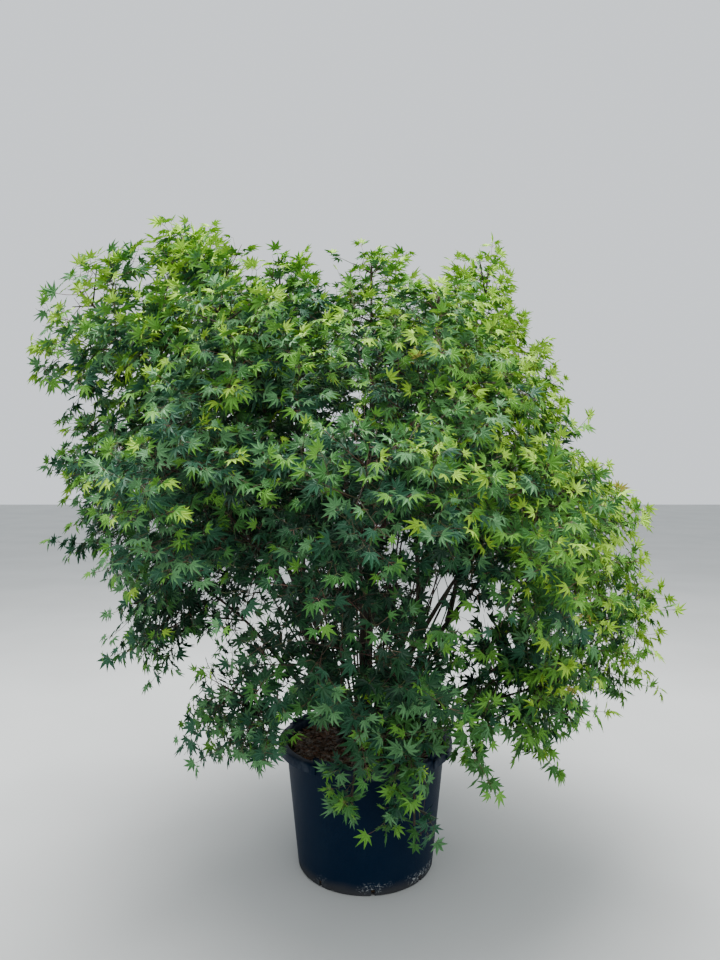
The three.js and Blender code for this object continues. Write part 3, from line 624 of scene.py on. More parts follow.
bark, shader, place = new_finish("bark", 0.8, 0.3)
grain = place.add("ShaderNodeAttribute", {"attribute_name": "grain"}, None, "Vector")
fibres = grain.stretched((110.0, 110.0, 7.0)).noise(1.0, 4.0, 0.6)
patches = place.noise(14.0, 3.0)
pores = grain.stretched((170.0, 170.0, 420.0)).noise(1.0, 2.0, 0.5)
colour = fibres.between(0.34, 0.68).mix(BARK_FURROWS, BARK_RIDGES)
colour = (patches.between(0.48, 0.72) * 0.55).mix(colour, BARK_GREEN)
colour = (place.noise(5.0, 2.0).between(0.55, 0.7) * 0.5).mix(colour, BARK_RUSSET)
colour = (pores.between(0.66, 0.74) * 0.6).mix(colour, BARK_PORES)
link(shader, "Base Color", colour)
link(shader, "Roughness", 0.62 + fibres * 0.3)
relief(shader, fibres + pores.between(0.62, 0.74) * 0.5, 0.0025)

rng = np.random.default_rng(23)
trunk_points = trunk_line(FINE_STEPS * 2)
stool_points = np.array([[0, 0, TRUNK_FOOT + rise] for rise in STOOL_RISES])
upper = trunk_points[trunk_points[:, 2] > TRUNK_FOOT + STOOL_END]
points = np.vstack([stool_points, upper])
rises = points[:, 2:3] - TRUNK_FOOT
vertices, faces, grain_places = bark_tube(points, trunk_radius(rises[:, 0]), STOOL_FACETS, rng, TRUNK_RIBS)
turn = np.linspace(0, 2 * math.pi, STOOL_FACETS, endpoint=False)
flutes = FLUTE_DEPTH * np.cos(STOOL_BOUGHS * turn[None]) * np.exp(-rises / FLUTE_HEIGHT)
axis = np.repeat(points, STOOL_FACETS, axis=0)
vertices = axis + (vertices - axis) * (1 + flutes.reshape(-1, 1))
stem_pieces = [(vertices, faces, grain_places)]
for i in range(ROOT_COUNT):
    azimuth = 2 * math.pi * (i + ROOT_SPREAD * math.sin(3 * i)) / ROOT_COUNT
    reach = ROOT_REACH * (1 + ROOT_UNEVENNESS * math.sin(5 * i))
    knots = [(far * math.cos(azimuth + veer), far * math.sin(azimuth + veer), TRUNK_FOOT + rise)
             for far, veer, rise in ((TRUNK_RADIUS, 0, ROOT_RISE), (reach * 0.6, 0.08, ROOT_RISE * 0.2),
                                     (reach, 0.2, -ROOT_RADIUS * 0.35))]
    root = curve_through(knots, ROOT_STEPS)
    share = np.linspace(0, 1, ROOT_STEPS + 1)
    root_radii = ROOT_RADIUS * np.interp(share, [0, 0.5, 1], [1, 0.85, 0.45])
    vertices, faces, grain_places = bark_tube(root, root_radii, ROOT_FACETS, rng, ROOT_RIBS)
    vertices[:, 2] = np.maximum(vertices[:, 2], TRUNK_FOOT)
    stem_pieces.append((vertices, faces, grain_places))


def joined(pieces):
    """Several pieces as one, each an array of points, one of faces and any more with a row a point."""
    points, faces, *more = zip(*pieces)
    starts = np.cumsum([0] + [len(some) for some in points[:-1]])
    faces = [some + start for some, start in zip(faces, starts)]
    return (np.vstack(points), np.vstack(faces), *(np.vstack(some) for some in more))


points, faces, grain_places = joined(stem_pieces)
stool = with_grain(mesh_piece("leading_stem", points, faces, smooth=True), grain_places)
finished(stool, bark, ["trunk"])

coarse = {"trunk": trunk_line(TRUNK_STEPS)}
coarse_radii = {"trunk": trunk_radius(coarse["trunk"][:, 2] - TRUNK_FOOT)}
for index, (name, parent, at, girth, lift, tip, _, _) in enumerate(BOUGHS):
    girth, tip = girth / 1000, np.array(tip) / 1000
    azimuth = 2 * math.pi * (index + FIRST_BOUGH) / STOOL_BOUGHS
    x, y = BOUGH_FOOT_RADIUS * math.cos(azimuth), BOUGH_FOOT_RADIUS * math.sin(azimuth)
    foot = (x, y, SOIL_TOP + BOUGH_FOOT_RISE)
    if parent:
        foot = point_along(coarse[parent], at)
    swell = COLLAR_SWELL if parent else 0
    coarse[name] = arc_points(foot, tip, lift, LIMB_STEPS)
    coarse_radii[name] = bough_radii(coarse[name], girth, swell)
    points = arc_points(foot, tip, lift, FINE_STEPS)
    girths = bough_radii(points, girth, swell)
    vertices, faces, grain_places = bark_tube(points, girths, LIMB_FACETS, rng, LIMB_RIBS)
    stem = mesh_piece("stem_" + name, vertices, faces, smooth=True)
    finished(with_grain(stem, grain_places), bark, ["bough_" + name])

# Twigs: from the tip of each stem the year's growth branches in opposite pairs, brown and
# green on the older wood, red on the young shoots and the leaf stalks.
SPACE_MARGIN = 0.0015
LIMB_CLEARANCE = 0.004
SPRAY_LEAF = 0.235
FULL_MASS = 0.300
STEM_END_RADIUS = 0.008
TWIG_RADIUS = 0.0036
TWIG_TAPER = 0.85
STEM_BEND = 0.35
TWIG_PAIRS = 3
FIRST_PAIR = 0.6
LEAST_SPREAD = 52
MORE_SPREAD = 22
LONGEST_TWIG = 0.320
SHORTEST_TWIG = 0.045
FIRST_SEED = 101
SPACE_SWELL = 1.0
RISE_SHARE = 0.84
DROP_SHARE = 1.06
PEAK_LEVEL = 1.85
PEAK_POWER = 1.35
SPRAY_MARGIN = 0.03
LONGEST_STANDING = 0.13
HEADING_SPAN = 0.08
SHOOT_TURN = 0.8
REACH_ALONG = (1.15, 0.5)
END_REACH = (0.6, 0.4)
ROOM_TAKEN = (0.80, 0.20)
SHORTEST_SHOOT = 0.030
LEAST_SHOOT_SPREAD = 35
MORE_SHOOT_SPREAD = 35
SHOOT_LIFT = 0.15
SHOOT_SAG = (0.05, 0.16)
STEM_SPANS = 12
TWIG_SPANS = 4
BRANCHLET = {"spacing": 0.085, "shortest": 0.14, "longest": 0.40, "first": 0.10}
SIDE_BRANCHLET = {"spacing": 0.100, "shortest": 0.12, "longest": 0.34, "first": 0.45}
SHOOT = {"spacing": 0.058, "shortest": 0.05, "longest": 0.15, "first": 0.22}
SHOOT_OVERLAP = 0.045
BRANCHLET_RADIUS = 0.0019
SHOOT_RADIUS = 0.0012
SHOOT_TAPER = 0.6
LEAF_SPACING = 0.034
BOX_SLACK = 0.040
POT_CLEARANCE = 0.006
GRIP_HALF_ANGLE = 12


def random_from(seed):
    """Repeatable random numbers from 0 to 1."""
    state = seed

    def draw():
        nonlocal state
        state = (state + 0x6D2B79F5) & 0xFFFFFFFF
        mixed = (state ^ (state >> 15)) * (state | 1) & 0xFFFFFFFF
        mixed ^= (mixed + ((mixed ^ (mixed >> 7)) * (mixed | 61) & 0xFFFFFFFF)) & 0xFFFFFFFF
        return (mixed ^ (mixed >> 14)) / 4294967296
    return draw


def turned_about(vector, axis, angle):
    """A direction turned about an axis."""
    return (vector * math.cos(angle) + np.cross(axis, vector) * math.sin(angle)
            + axis * axis.dot(vector) * (1 - math.cos(angle)))


def gaps_to(start, end, starts, ends):
    """The shortest distance from one straight piece to each of many."""
    u, v, w = end - start, ends - starts, start - starts
    uu, uv, vv = u.dot(u), v @ u, (v * v).sum(1)
    uw, vw = w @ u, (v * w).sum(1)
    spread = uu * vv - uv * uv
    s = np.clip(np.where(spread > 1e-15, (uv * vw - vv * uw) / np.maximum(spread, 1e-15), 0), 0, 1)
    t = np.clip((uv * s + vw) / vv, 0, 1)
    s = np.clip((uv * t - uw) / uu, 0, 1)
    return np.linalg.norm(w + s[:, None] * u - t[:, None] * v, axis=1)


limb_starts = np.vstack([points[:-1] for points in coarse.values()])
limb_ends = np.vstack([points[1:] for points in coarse.values()])
limb_girths = np.concatenate([coarse_radii[name][:-1] for name in coarse])
MASSES = [(bough[0], *bough[-2:]) for bough in BOUGHS] + [CROWN_TOP]
MASSES = [(name, np.array(centre) / 1000, np.array(size) / 1000) for name, centre, size in MASSES]


class Space:
    """The space of one mass of foliage: an ellipsoid cut by planes half way to the other masses."""

    def __init__(self, index):
        self.name, self.centre, self.size = MASSES[index]
        weight = self.size.dot(self.size) / 3
        others = [mass for i, mass in enumerate(MASSES) if i != index]
        towards = np.array([centre - self.centre for _, centre, _ in others])
        distance = np.linalg.norm(towards, axis=1)
        other_weight = np.array([size.dot(size) / 3 for _, _, size in others])
        self.normals = towards / distance[:, None]
        self.reaches = (distance ** 2 + weight - other_weight) / (2 * distance) - SPACE_MARGIN

    def holds(self, points):
        offset = points - self.centre
        in_planes = (offset @ self.normals.T <= self.reaches).all(-1)
        return in_planes & (((offset / self.size) ** 2).sum(-1) <= 1)

    def shades(self, points, swell, overlap=0.0):
        """The same space as the finer growth fills it: wider, and pointed upward in the top of the crown."""
        offset = points - self.centre
        in_planes = (offset @ self.normals.T <= self.reaches + overlap).all(-1)
        upper = offset[..., 2] > 0
        flat = np.hypot(offset[..., 0] / self.size[0], offset[..., 1] / self.size[1]) / swell
        rise = np.abs(offset[..., 2]) / (self.size[2] * swell * np.where(upper, RISE_SHARE, DROP_SHARE))
        power = np.where(upper & (self.centre[2] > PEAK_LEVEL), PEAK_POWER, 2.0)
        return in_planes & (flat ** power + rise ** power <= 1)

    def exit_from(self, point, direction):
        offset = point - self.centre
        p, q = offset / self.size, direction / self.size
        half = p.dot(q) / q.dot(q)
        reach = math.sqrt(max(0, half * half - (p.dot(p) - 1) / q.dot(q))) - half
        speed = self.normals @ direction
        ahead = speed > 1e-6
        if ahead.any():
            reach = min(reach, ((self.reaches - self.normals @ offset)[ahead] / speed[ahead]).min())
        return reach


SPACES = [Space(index) for index in range(len(MASSES))]


def in_crown(points, swell=SPACE_SWELL):
    """True where points lie within the reach of any mass of foliage."""
    return np.any([space.shades(points, swell, math.inf) for space in SPACES], axis=0)


def is_clear(start, end, radius):
    return bool((gaps_to(start, end, limb_starts, limb_ends) > limb_girths + radius + LIMB_CLEARANCE).all())


def grow_twigs(limb, radii, space, draw):
    """The stem that runs on from a limb's tip through its space, and the twigs in pairs on it."""
    heading = unit(limb[-1] - limb[-2])
    start = limb[-1] + heading * SEAT_GAP
    through = unit(space.centre - start)
    spray_leaf = SPRAY_LEAF * min(1, space.size.mean() / FULL_MASS)
    length = space.exit_from(start, through) - spray_leaf / 2
    far, bend = start + through * length, start + heading * length * STEM_BEND
    stem = bowed(start, bend, far, 2)
    twigs = [(bowed(start, bend, far, STEM_SPANS), radii[-1], STEM_END_RADIUS * 0.5)]
    first_turn = draw() * math.pi
    for pair in range(TWIG_PAIRS):
        share = (pair + FIRST_PAIR) / TWIG_PAIRS
        root = point_along(stem, share)
        onward = unit(point_along(stem, share + 0.1) - point_along(stem, share - 0.1))
        sideways = unit(np.cross(onward, UP))
        sideways = turned_about(sideways, onward, first_turn + pair * math.pi / 2 + (draw() - 0.5) * 0.5)
        for way in (1, -1):
            spread = math.radians(LEAST_SPREAD + MORE_SPREAD * draw())
            outward = onward * math.cos(spread) + sideways * way * math.sin(spread)
            reach = min(LONGEST_TWIG, space.exit_from(root, outward) - spray_leaf / 2)
            if reach < SHORTEST_TWIG:
                continue
            end = root + outward * reach
            if space.holds(root) and space.holds(end) and is_clear(root, end, TWIG_RADIUS):
                line = np.linspace(root, end, TWIG_SPANS + 1)
                twigs.append((line, TWIG_RADIUS, TWIG_RADIUS * TWIG_TAPER * 0.6))
    return twigs


def rods(lines, start_radii, end_radii, facets):
    """Many thin tapering rods as one array of points and triangles, closed at both ends."""
    lines = np.array(lines)
    count, rings, _ = lines.shape
    ahead = np.gradient(lines, axis=1)
    ahead /= np.linalg.norm(ahead, axis=2)[..., None]
    helper = np.where(np.abs(ahead[:, :1, 2:3]) > 0.9, [[[1.0, 0, 0]]], [[[0, 0, 1.0]]])
    normal = np.cross(ahead, np.broadcast_to(helper, ahead.shape))
    normal /= np.linalg.norm(normal, axis=2)[..., None]
    side = np.cross(ahead, normal)
    share = np.linspace(0, 1, rings)
    radii = np.array(start_radii)[:, None] * (1 - share) + np.array(end_radii)[:, None] * share
    turn = np.linspace(0, 2 * math.pi, facets, endpoint=False)
    ring = (normal[:, :, None] * np.cos(turn)[None, None, :, None]
            + side[:, :, None] * np.sin(turn)[None, None, :, None])
    points = lines[:, :, None] + ring * radii[:, :, None, None]
    quads = tube_faces(rings, facets)
    triangles = np.vstack([quads[:, [0, 1, 2]], quads[:, [0, 2, 3]]])
    fan = np.array([[0, i + 1, i] for i in range(1, facets - 1)])
    last = (rings - 1) * facets
    caps = np.vstack([fan, fan[:, ::-1] + last])
    triangles = np.vstack([triangles, caps])
    every = (triangles[None] + (rings * facets) * np.arange(count)[:, None, None]).reshape(-1, 3)
    return points.reshape(-1, 3), every


# Young stems: younger wood from the stool's edge, about as thick as a pencil, that fans out
# between the limbs and ends in the foliage. Each keeps clear of the limbs and of the rest.
YOUNG_STEM_COUNT = 30
YOUNG_STEM_TRIES = 140
YOUNG_STEM_GIRTHS = (0.0035, 0.0065)
YOUNG_STEM_SWAY = 0.15
YOUNG_STEM_FEET = (0.045, 0.110)
YOUNG_STEM_SINK = 0.002
YOUNG_STEM_REACHES = (0.22, 0.62)
YOUNG_STEM_LEVELS = (1.10, 1.60)
YOUNG_STEM_LIFTS = (0.48, 0.66)
YOUNG_STEM_WAVE = 0.006
YOUNG_STEM_GAP = 0.020
YOUNG_STEM_STEPS = 24
STEPS_A_JOINT = 6
STOOL_TOP = 0.16
GOLDEN_ANGLE = 2.39996

rng = np.random.default_rng(29)
young_stems = []
young_girths = []
for i in range(YOUNG_STEM_TRIES):
    azimuth = i * GOLDEN_ANGLE + rng.normal(0, YOUNG_STEM_SWAY)
    facing = np.array([math.cos(azimuth), math.sin(azimuth), 0])
    foot = facing * rng.uniform(*YOUNG_STEM_FEET) + UP * (SOIL_TOP + YOUNG_STEM_SINK)
    tip = facing * rng.uniform(*YOUNG_STEM_REACHES) + UP * rng.uniform(*YOUNG_STEM_LEVELS)
    girth = rng.uniform(*YOUNG_STEM_GIRTHS)
    stem = arc_points(foot, tip, rng.uniform(*YOUNG_STEM_LIFTS), YOUNG_STEM_STEPS)
    steps = np.arange(YOUNG_STEM_STEPS + 1)[:, None]
    stem += YOUNG_STEM_WAVE * np.sin(steps * rng.uniform(0.3, 0.8, 3) + rng.uniform(0, 6, 3)) * facing
    above = stem[stem[:, 2] > SOIL_TOP + STOOL_TOP]
    is_free = all(is_clear(above[j], above[j + 1], girth) for j in range(len(above) - 1))
    for other in young_stems:
        is_free &= np.linalg.norm(above[:, None] - other[None], axis=2).min() > YOUNG_STEM_GAP
    if is_free and len(young_stems) < YOUNG_STEM_COUNT:
        young_stems.append(stem)
        young_girths.append(girth)
points, corners = rods(young_stems, young_girths, np.full(len(young_stems), BRANCHLET_RADIUS), 8)
young = with_grain(mesh_piece("young_stems", points, corners, smooth=True), points * (0.2, 0.2, 1))
finished(young, bark, ["trunk"])
joints = [stem[::STEPS_A_JOINT] for stem in young_stems]
limb_starts = np.vstack([limb_starts] + [line[:-1] for line in joints])
limb_ends = np.vstack([limb_ends] + [line[1:] for line in joints])
limb_girths = np.concatenate([limb_girths, np.repeat(young_girths, YOUNG_STEM_STEPS // STEPS_A_JOINT)])


def keeps_off_pot(points):
    """True where points lie clear of the pot, its grips and the mulch."""
    radius = np.hypot(points[..., 0], points[..., 1])
    level = points[..., 2]
    azimuth = np.degrees(np.arctan2(points[..., 1], points[..., 0]))
    near_grip = np.zeros(radius.shape, bool)
    for grip in HANDLE_AZIMUTHS.values():
        near_grip |= np.abs((azimuth - grip + 180) % 360 - 180) < GRIP_HALF_ANGLE
    top = np.where(near_grip, POT_HEIGHT + HANDLE_HEIGHT, POT_HEIGHT) + POT_CLEARANCE
    return ~((radius < RIM_RADIUS + POT_CLEARANCE) & (level < top))


low = np.array(cad_box[0]) - BOX_SLACK
high = np.array(cad_box[1]) + BOX_SLACK


def grow_shoots(line, fits, draw, kind):
    """Shoots in pairs along a twig, and one that carries its end on; fits says where they may be."""
    length = np.linalg.norm(np.diff(line, axis=0), axis=1).sum()
    pairs = max(1, round(length * (1 - kind["first"]) / kind["spacing"]))
    shoots = []
    turn = draw() * math.pi
    for pair in range(pairs):
        share = kind["first"] + (1 - kind["first"]) * (pair + 0.3 + 0.4 * draw()) / pairs
        root = point_along(line, share)
        after = point_along(line, min(1, share + HEADING_SPAN))
        onward = unit(after - point_along(line, share - HEADING_SPAN))
        flat = unit(np.cross(onward, UP) + 1e-6)
        sideways = turned_about(flat, onward, turn + pair * math.pi / 2 + (draw() - 0.5) * SHOOT_TURN)
        for way in (1, -1):
            spread = math.radians(LEAST_SHOOT_SPREAD + MORE_SHOOT_SPREAD * draw())
            outward = unit(onward * math.cos(spread) + sideways * way * math.sin(spread) + UP * SHOOT_LIFT)
            more = (kind["longest"] - kind["shortest"]) * draw() * (REACH_ALONG[0] - REACH_ALONG[1] * share)
            shoots.append((root, outward, kind["shortest"] + more))
    onward = unit(line[-1] - line[-2])
    shoots.append((line[-1], onward, kind["longest"] * (END_REACH[0] + END_REACH[1] * draw())))
    kept = []
    for root, outward, reach in shoots:
        ahead = np.linspace(0.1, 1, 10) * (reach + SPRAY_MARGIN)
        inside = np.logical_and.accumulate(fits(root + outward * ahead[:, None]))
        free = ahead[inside].max(initial=0)
        stands_out = LONGEST_STANDING * draw() ** 3 if free > 0 else 0
        room = free * (ROOM_TAKEN[0] + ROOM_TAKEN[1] * draw())
        reach = min(reach, room + stands_out - SPRAY_MARGIN)
        if reach < SHORTEST_SHOOT:
            continue
        sag = UP * reach * (SHOOT_SAG[0] - SHOOT_SAG[1] * draw() * (1 - abs(outward[2])))
        points = np.array([root, root + outward * reach * 0.5 - sag * 0.25, root + outward * reach + sag])
        in_box = (points >= low).all() and (points <= high).all()
        if in_box and keeps_off_pot(points).all() and is_clear(points[1], points[2], SHOOT_RADIUS):
            kept.append(points)
    return kept


# Leaves: thin hand-shaped blades with seven pointed lobes, each folded a little along its rib
# and hanging at its tips, in opposite pairs on red stalks. Deep blue-green inside, as painted shade, and
# fresh at the tips.
# Each lobe is an angle from the midrib in degrees and a reach as a share of the middle lobe's.
LOBES = ((-112, 0.42), (-72, 0.74), (-35, 0.93), (0, 1.0), (35, 0.93), (72, 0.74), (112, 0.42))
LOBE_HALF_WIDTH = 13
LOBE_WIDEST = 0.52
SHOULDER_LIFT = 0.055
SINUS_REACH = 0.40
SINUS_LIFT = 0.04
LEAF_FOOT = 0.03
LOBE_UNEVENNESS = 0.06
PLAIN_LOBES = ((-84, 0.62), (-42, 0.90), (0, 1.0), (42, 0.90), (84, 0.62))
INNER_RIM = 0.62
LEAF_SIZES = (0.033, 0.053)
LEAF_CLEARANCE = 0.002
LEAF_SWELL = 1.50
STALK_LENGTHS = (0.012, 0.028)
STALK_RADIUS = 0.0008
STALK_TAPER = 0.7
STALK_LAP = 0.002
STALK_TRIANGLES = 8
STALK_AHEAD = (0.35, 0.40)
STALK_ASIDE = 0.85
STALK_SWAY = 1.2
STALK_TURNS = (-0.2, 0.5)
STALK_RISE = 0.10
LEAF_HANG = (0.05, 0.75)
HIGH_LEAF_HANG = (1.45, 0.50)
CROWD_CELL = 0.060
CROWD_MOST = 3
CROWD_INSIDE = 2
# The share of the branchlets that some masses keep, how much larger the leaves of some are, and
# where few leaves grow: from and to across, then from and to in height, as seen from the front.
THINNED = {"front_low": 0.60, "back_low": 0.60, "inner_spray": 0.60, "rim_spray": 0.62,
           "rim_spray_left": 0.70, "low_right_spray": 0.62, "right_low": 0.80, "left": 0.92,
           "left_peak": 0.92}
LARGER = {"rim_spray": 1.20, "rim_spray_left": 1.20, "low_right_spray": 1.12, "inner_spray": 1.12,
          "front_low": 1.08, "left": 1.20, "left_peak": 1.20, "top_left": 1.10, "front_top_left": 1.10}
BARE_PLACES = ((-0.46, 0.46, 0.98, 1.24), (-0.68, -0.34, 0.74, 0.92), (0.84, 1.16, 1.54, 1.82),
               (0.15, 0.36, 0.22, 0.48), (-0.03, 0.07, 0.22, 0.50), (-1.36, -1.02, 2.08, 2.46),
               (-0.54, -0.33, 2.28, 2.60), (-0.20, -0.06, 2.24, 2.60), (0.15, 0.33, 2.26, 2.60))
BARE_SHARE = 0.35
CROWN_MIDDLE = np.array([-0.05, 0, 1.40])
CROWN_REACH = np.array([1.20, 1.10, 1.20])
FACE_LEVEL = 1.35
FACE_UP = 0.42
FACE_RISE = 0.6
FACE_CORE = 0.3
FACE_TILT_LEVEL = 1.5
HIGH_FACE_TILT = 0.6
DROOPS = (0.10, 0.28)
END_LEAF = 0.85
MOST_TRIANGLES = 190000


def way_out(place):
    """How far out a place lies in the crown: 0 in its middle and about 1 at its rim."""
    return np.linalg.norm((place - CROWN_MIDDLE) / CROWN_REACH)


def leaf_outline(lobes, has_shoulders):
    """Angle, reach and height of each point round a leaf of length 1, from its stalk."""
    rows = [(180, LEAF_FOOT, 0)]
    for i, (angle, reach) in enumerate(lobes):
        is_wide = has_shoulders and 0 < i < len(lobes) - 1
        if is_wide:
            rows.append((angle - LOBE_HALF_WIDTH, reach * LOBE_WIDEST, SHOULDER_LIFT))
        rows.append((angle, reach, 0))
        if is_wide:
            rows.append((angle + LOBE_HALF_WIDTH, reach * LOBE_WIDEST, SHOULDER_LIFT))
        if i + 1 < len(lobes):
            after = lobes[i + 1]
            rows.append(((angle + after[0]) / 2, SINUS_REACH * (reach + after[1]) / 2, SINUS_LIFT))
    return np.array(rows)


def leaf_directions(onward, way, node, draw, pair):
    """Which way a leaf's stalk and blade point, and which way its face looks."""
    flat = unit(np.cross(onward, UP) + 1e-6)
    sideways = turned_about(flat, onward, (draw() - 0.5) * STALK_SWAY + STALK_TURNS[pair % 2] * way)
    ahead = STALK_AHEAD[0] + STALK_AHEAD[1] * draw()
    stalk = unit(onward * ahead + sideways * way * STALK_ASIDE + UP * STALK_RISE)
    hang = (LEAF_HANG[0] + LEAF_HANG[1] * draw()) * min(1, HIGH_LEAF_HANG[0] - HIGH_LEAF_HANG[1] * node[2])
    along = unit(stalk - UP * hang)
    outward = np.array([node[0], node[1], (node[2] - FACE_LEVEL) * FACE_RISE])
    outward = outward / max(np.linalg.norm(outward), FACE_CORE)
    tilt = np.array([draw() - 0.5, draw() - 0.5, draw() - 0.5])
    tilt = tilt * (1.0 + HIGH_FACE_TILT * max(0, node[2] - FACE_TILT_LEVEL))
    face = UP * FACE_UP + outward + tilt
    face = unit(face - along * face.dot(along))
    return stalk, along, face


CROWN_FOOT = 0.45
CROWN_HEIGHT = 2.1
# What makes a spray's green light: painted light high up, at the crown's rim and on the low sprays,
# painted shade in the crown's middle, a lighter tone to the right, and chance; how likely the blue and
# pale ones are and how much less so to the right, and the lightness at which each tone of green ends.
HEIGHT_PAINTED_LIGHT = 0.46
RIM_PAINTED_LIGHT = 0.32
LIGHT_OF_RIGHT = 0.26
LIGHT_OF_CHANCE = 0.30
LOW_PAINTED_LIGHT = 0.70
MOST_LOW_PAINTED_LIGHT = 0.20
PAINTED_SHADE_DEPTH = 0.22
PAINTED_SHADE_PLACE = (-0.10, 1.30)
PAINTED_SHADE_REACH = (0.46, 0.42)
LOW_SPRAYS = 1.0
GOLD_CHANCE = 0.006
BLUE_CHANCE = (0.50, 0.35)
PALE_CHANCE = (0.34, 0.40)
BLUE_LIGHTS = (0.28, 0.60)
TONE_LIMITS = {"deep": 0.30, "shade": 0.46, "middle": 0.66, "fresh": 0.84}


def spray_tone_and_painted_light(node, draw):
    """The green of a spray: its own tone, partly painted light and shade, lighter high up, at the crown's
    rim, low down and to the right, with painted shade deep in its middle.
    """
    x, _, z = node
    right = max(0, x)
    # Painted shade: the middle of the crown, as seen from the front, is dealt darker greens.
    dark = math.exp(-((x - PAINTED_SHADE_PLACE[0]) / PAINTED_SHADE_REACH[0]) ** 2 - ((z - PAINTED_SHADE_PLACE[1]) / PAINTED_SHADE_REACH[1]) ** 2)
    # Painted light: sprays high up and at the crown's rim are dealt lighter greens; chance adds their own
    # variety.
    light = HEIGHT_PAINTED_LIGHT * (z - CROWN_FOOT) / CROWN_HEIGHT + RIM_PAINTED_LIGHT * way_out(node)
    light = light + LIGHT_OF_RIGHT * right + LIGHT_OF_CHANCE * (draw() - 0.5)
    # Painted light on the low sprays, less of it to the right, and the painted shade of the middle taken off.
    low_painted_light = min(MOST_LOW_PAINTED_LIGHT, LOW_PAINTED_LIGHT * max(0, LOW_SPRAYS - z))
    light += low_painted_light * (1 - min(1, 1.3 * right)) - PAINTED_SHADE_DEPTH * dark
    chance = draw()
    if chance < GOLD_CHANCE * right:
        return "gold"
    if chance < BLUE_CHANCE[0] - BLUE_CHANCE[1] * x and BLUE_LIGHTS[0] < light < BLUE_LIGHTS[1]:
        return "blue"
    if chance < PALE_CHANCE[0] - PALE_CHANCE[1] * x and BLUE_LIGHTS[1] <= light < TONE_LIMITS["fresh"]:
        return "pale"
    return next((name for name, limit in TONE_LIMITS.items() if light < limit), "young")


# Leaf greens, one material each: the leaves' own tones, also dealt out as lit and shaded copies, so the
# darker ones carry painted shade and the lighter ones painted light.
LEAF_COLOURS = {
    "deep": (0.005, 0.028, 0.012, 1),
    "shade": (0.011, 0.054, 0.018, 1),
    "blue": (0.022, 0.086, 0.042, 1),
    "middle": (0.039, 0.138, 0.027, 1),
    "pale": (0.086, 0.218, 0.082, 1),
    "fresh": (0.106, 0.272, 0.032, 1),
    "young": (0.280, 0.480, 0.042, 1),
    "gold": (0.360, 0.330, 0.060, 1),
}
FRESHER = {"deep": "shade", "shade": "middle", "blue": "pale", "middle": "fresh", "pale": "fresh",
           "fresh": "young", "young": "young", "gold": "gold"}

# How likely an end leaf is a tone brighter, as a young leaf is, and more so higher up, where this is also
# painted light; then the share of a line before its first leaves, the share where its last ones stand, and
# which way these turn.
BRIGHT_ENDS = (0.24, 0.12)
BRANCHLET_BARE = 0.5
SHOOT_BARE = 0.25
LEADER_BARE = 0.10
LAST_LEAVES = 0.98
END_WAYS = (1, -1, 0.15)

# Leaders: the season's longest young shoots, which carry a branchlet on past the crown's rim with
# a tuft of leaves at the end, more of them to the right and few at the top.
LEADER_CHANCE = 0.24
LEADER_CHANCE_RIGHT = 0.30
LEADER_CHANCE_HIGH = 0.11
HIGH_LEVEL = 1.70
LEADER_LEVELS = (0.66, 2.05)
RIGHT_FLANK = 0.6
LEADER_TOP_RIGHT = 1.45
LEADER_REACHES = (0.09, 0.19)
LEADER_ONWARD = 0.6
LEADER_RISE = 0.4
LEADER_CURL = 0.06
LEADER_CLEAR = 0.7
SHORTEST_LEADER = 0.06
LEADER_MARGIN = 0.055
LEADER_SEED = 1001


def between_limits(limits, share):
    """A value between two limits, by a share from 0 to 1."""
    return limits[0] + (limits[1] - limits[0]) * share


def grow_leader(line, draw):
    """A long young shoot that carries a branchlet on out of the crown, where it stands clear of the rest."""
    chance, length, rise = draw(), draw(), draw()
    start = line[-1]
    onward = unit(start - line[-2]) * LEADER_ONWARD + unit(start - CROWN_MIDDLE)
    onward = unit(onward + UP * LEADER_RISE * rise)
    limits = np.where(onward > 0, high - LEADER_MARGIN, low + LEADER_MARGIN)
    reach = min(between_limits(LEADER_REACHES, length), ((limits - start) / onward).min())
    shares, curls = np.array([[0], [0.5], [1]]), np.array([[0], [0], [LEADER_CURL]])
    points = start + onward * reach * shares + UP * reach * curls
    likely = LEADER_CHANCE + LEADER_CHANCE_RIGHT * max(0, start[0])
    if start[2] > HIGH_LEVEL:
        likely = LEADER_CHANCE_HIGH
    top = LEADER_TOP_RIGHT if start[0] > RIGHT_FLANK else LEADER_LEVELS[1]
    is_wanted = chance < likely and reach > SHORTEST_LEADER and LEADER_LEVELS[0] < start[2] < top
    if is_wanted and not in_crown(start + onward * reach * LEADER_CLEAR) and keeps_off_pot(points).all():
        return points
    return None


wood_lines = []
branchlet_lines = []
shoot_lines = []
leaf_rows = []
crowd = {}


def has_room(node):
    """False where the leaves round a place already shade it; fewer have room deep in the crown."""
    cell = tuple((node / CROWD_CELL).astype(int))
    if crowd.get(cell, 0) >= (CROWD_MOST if way_out(node) > INNER_RIM else CROWD_INSIDE):
        return False
    crowd[cell] = crowd.get(cell, 0) + 1
    return True


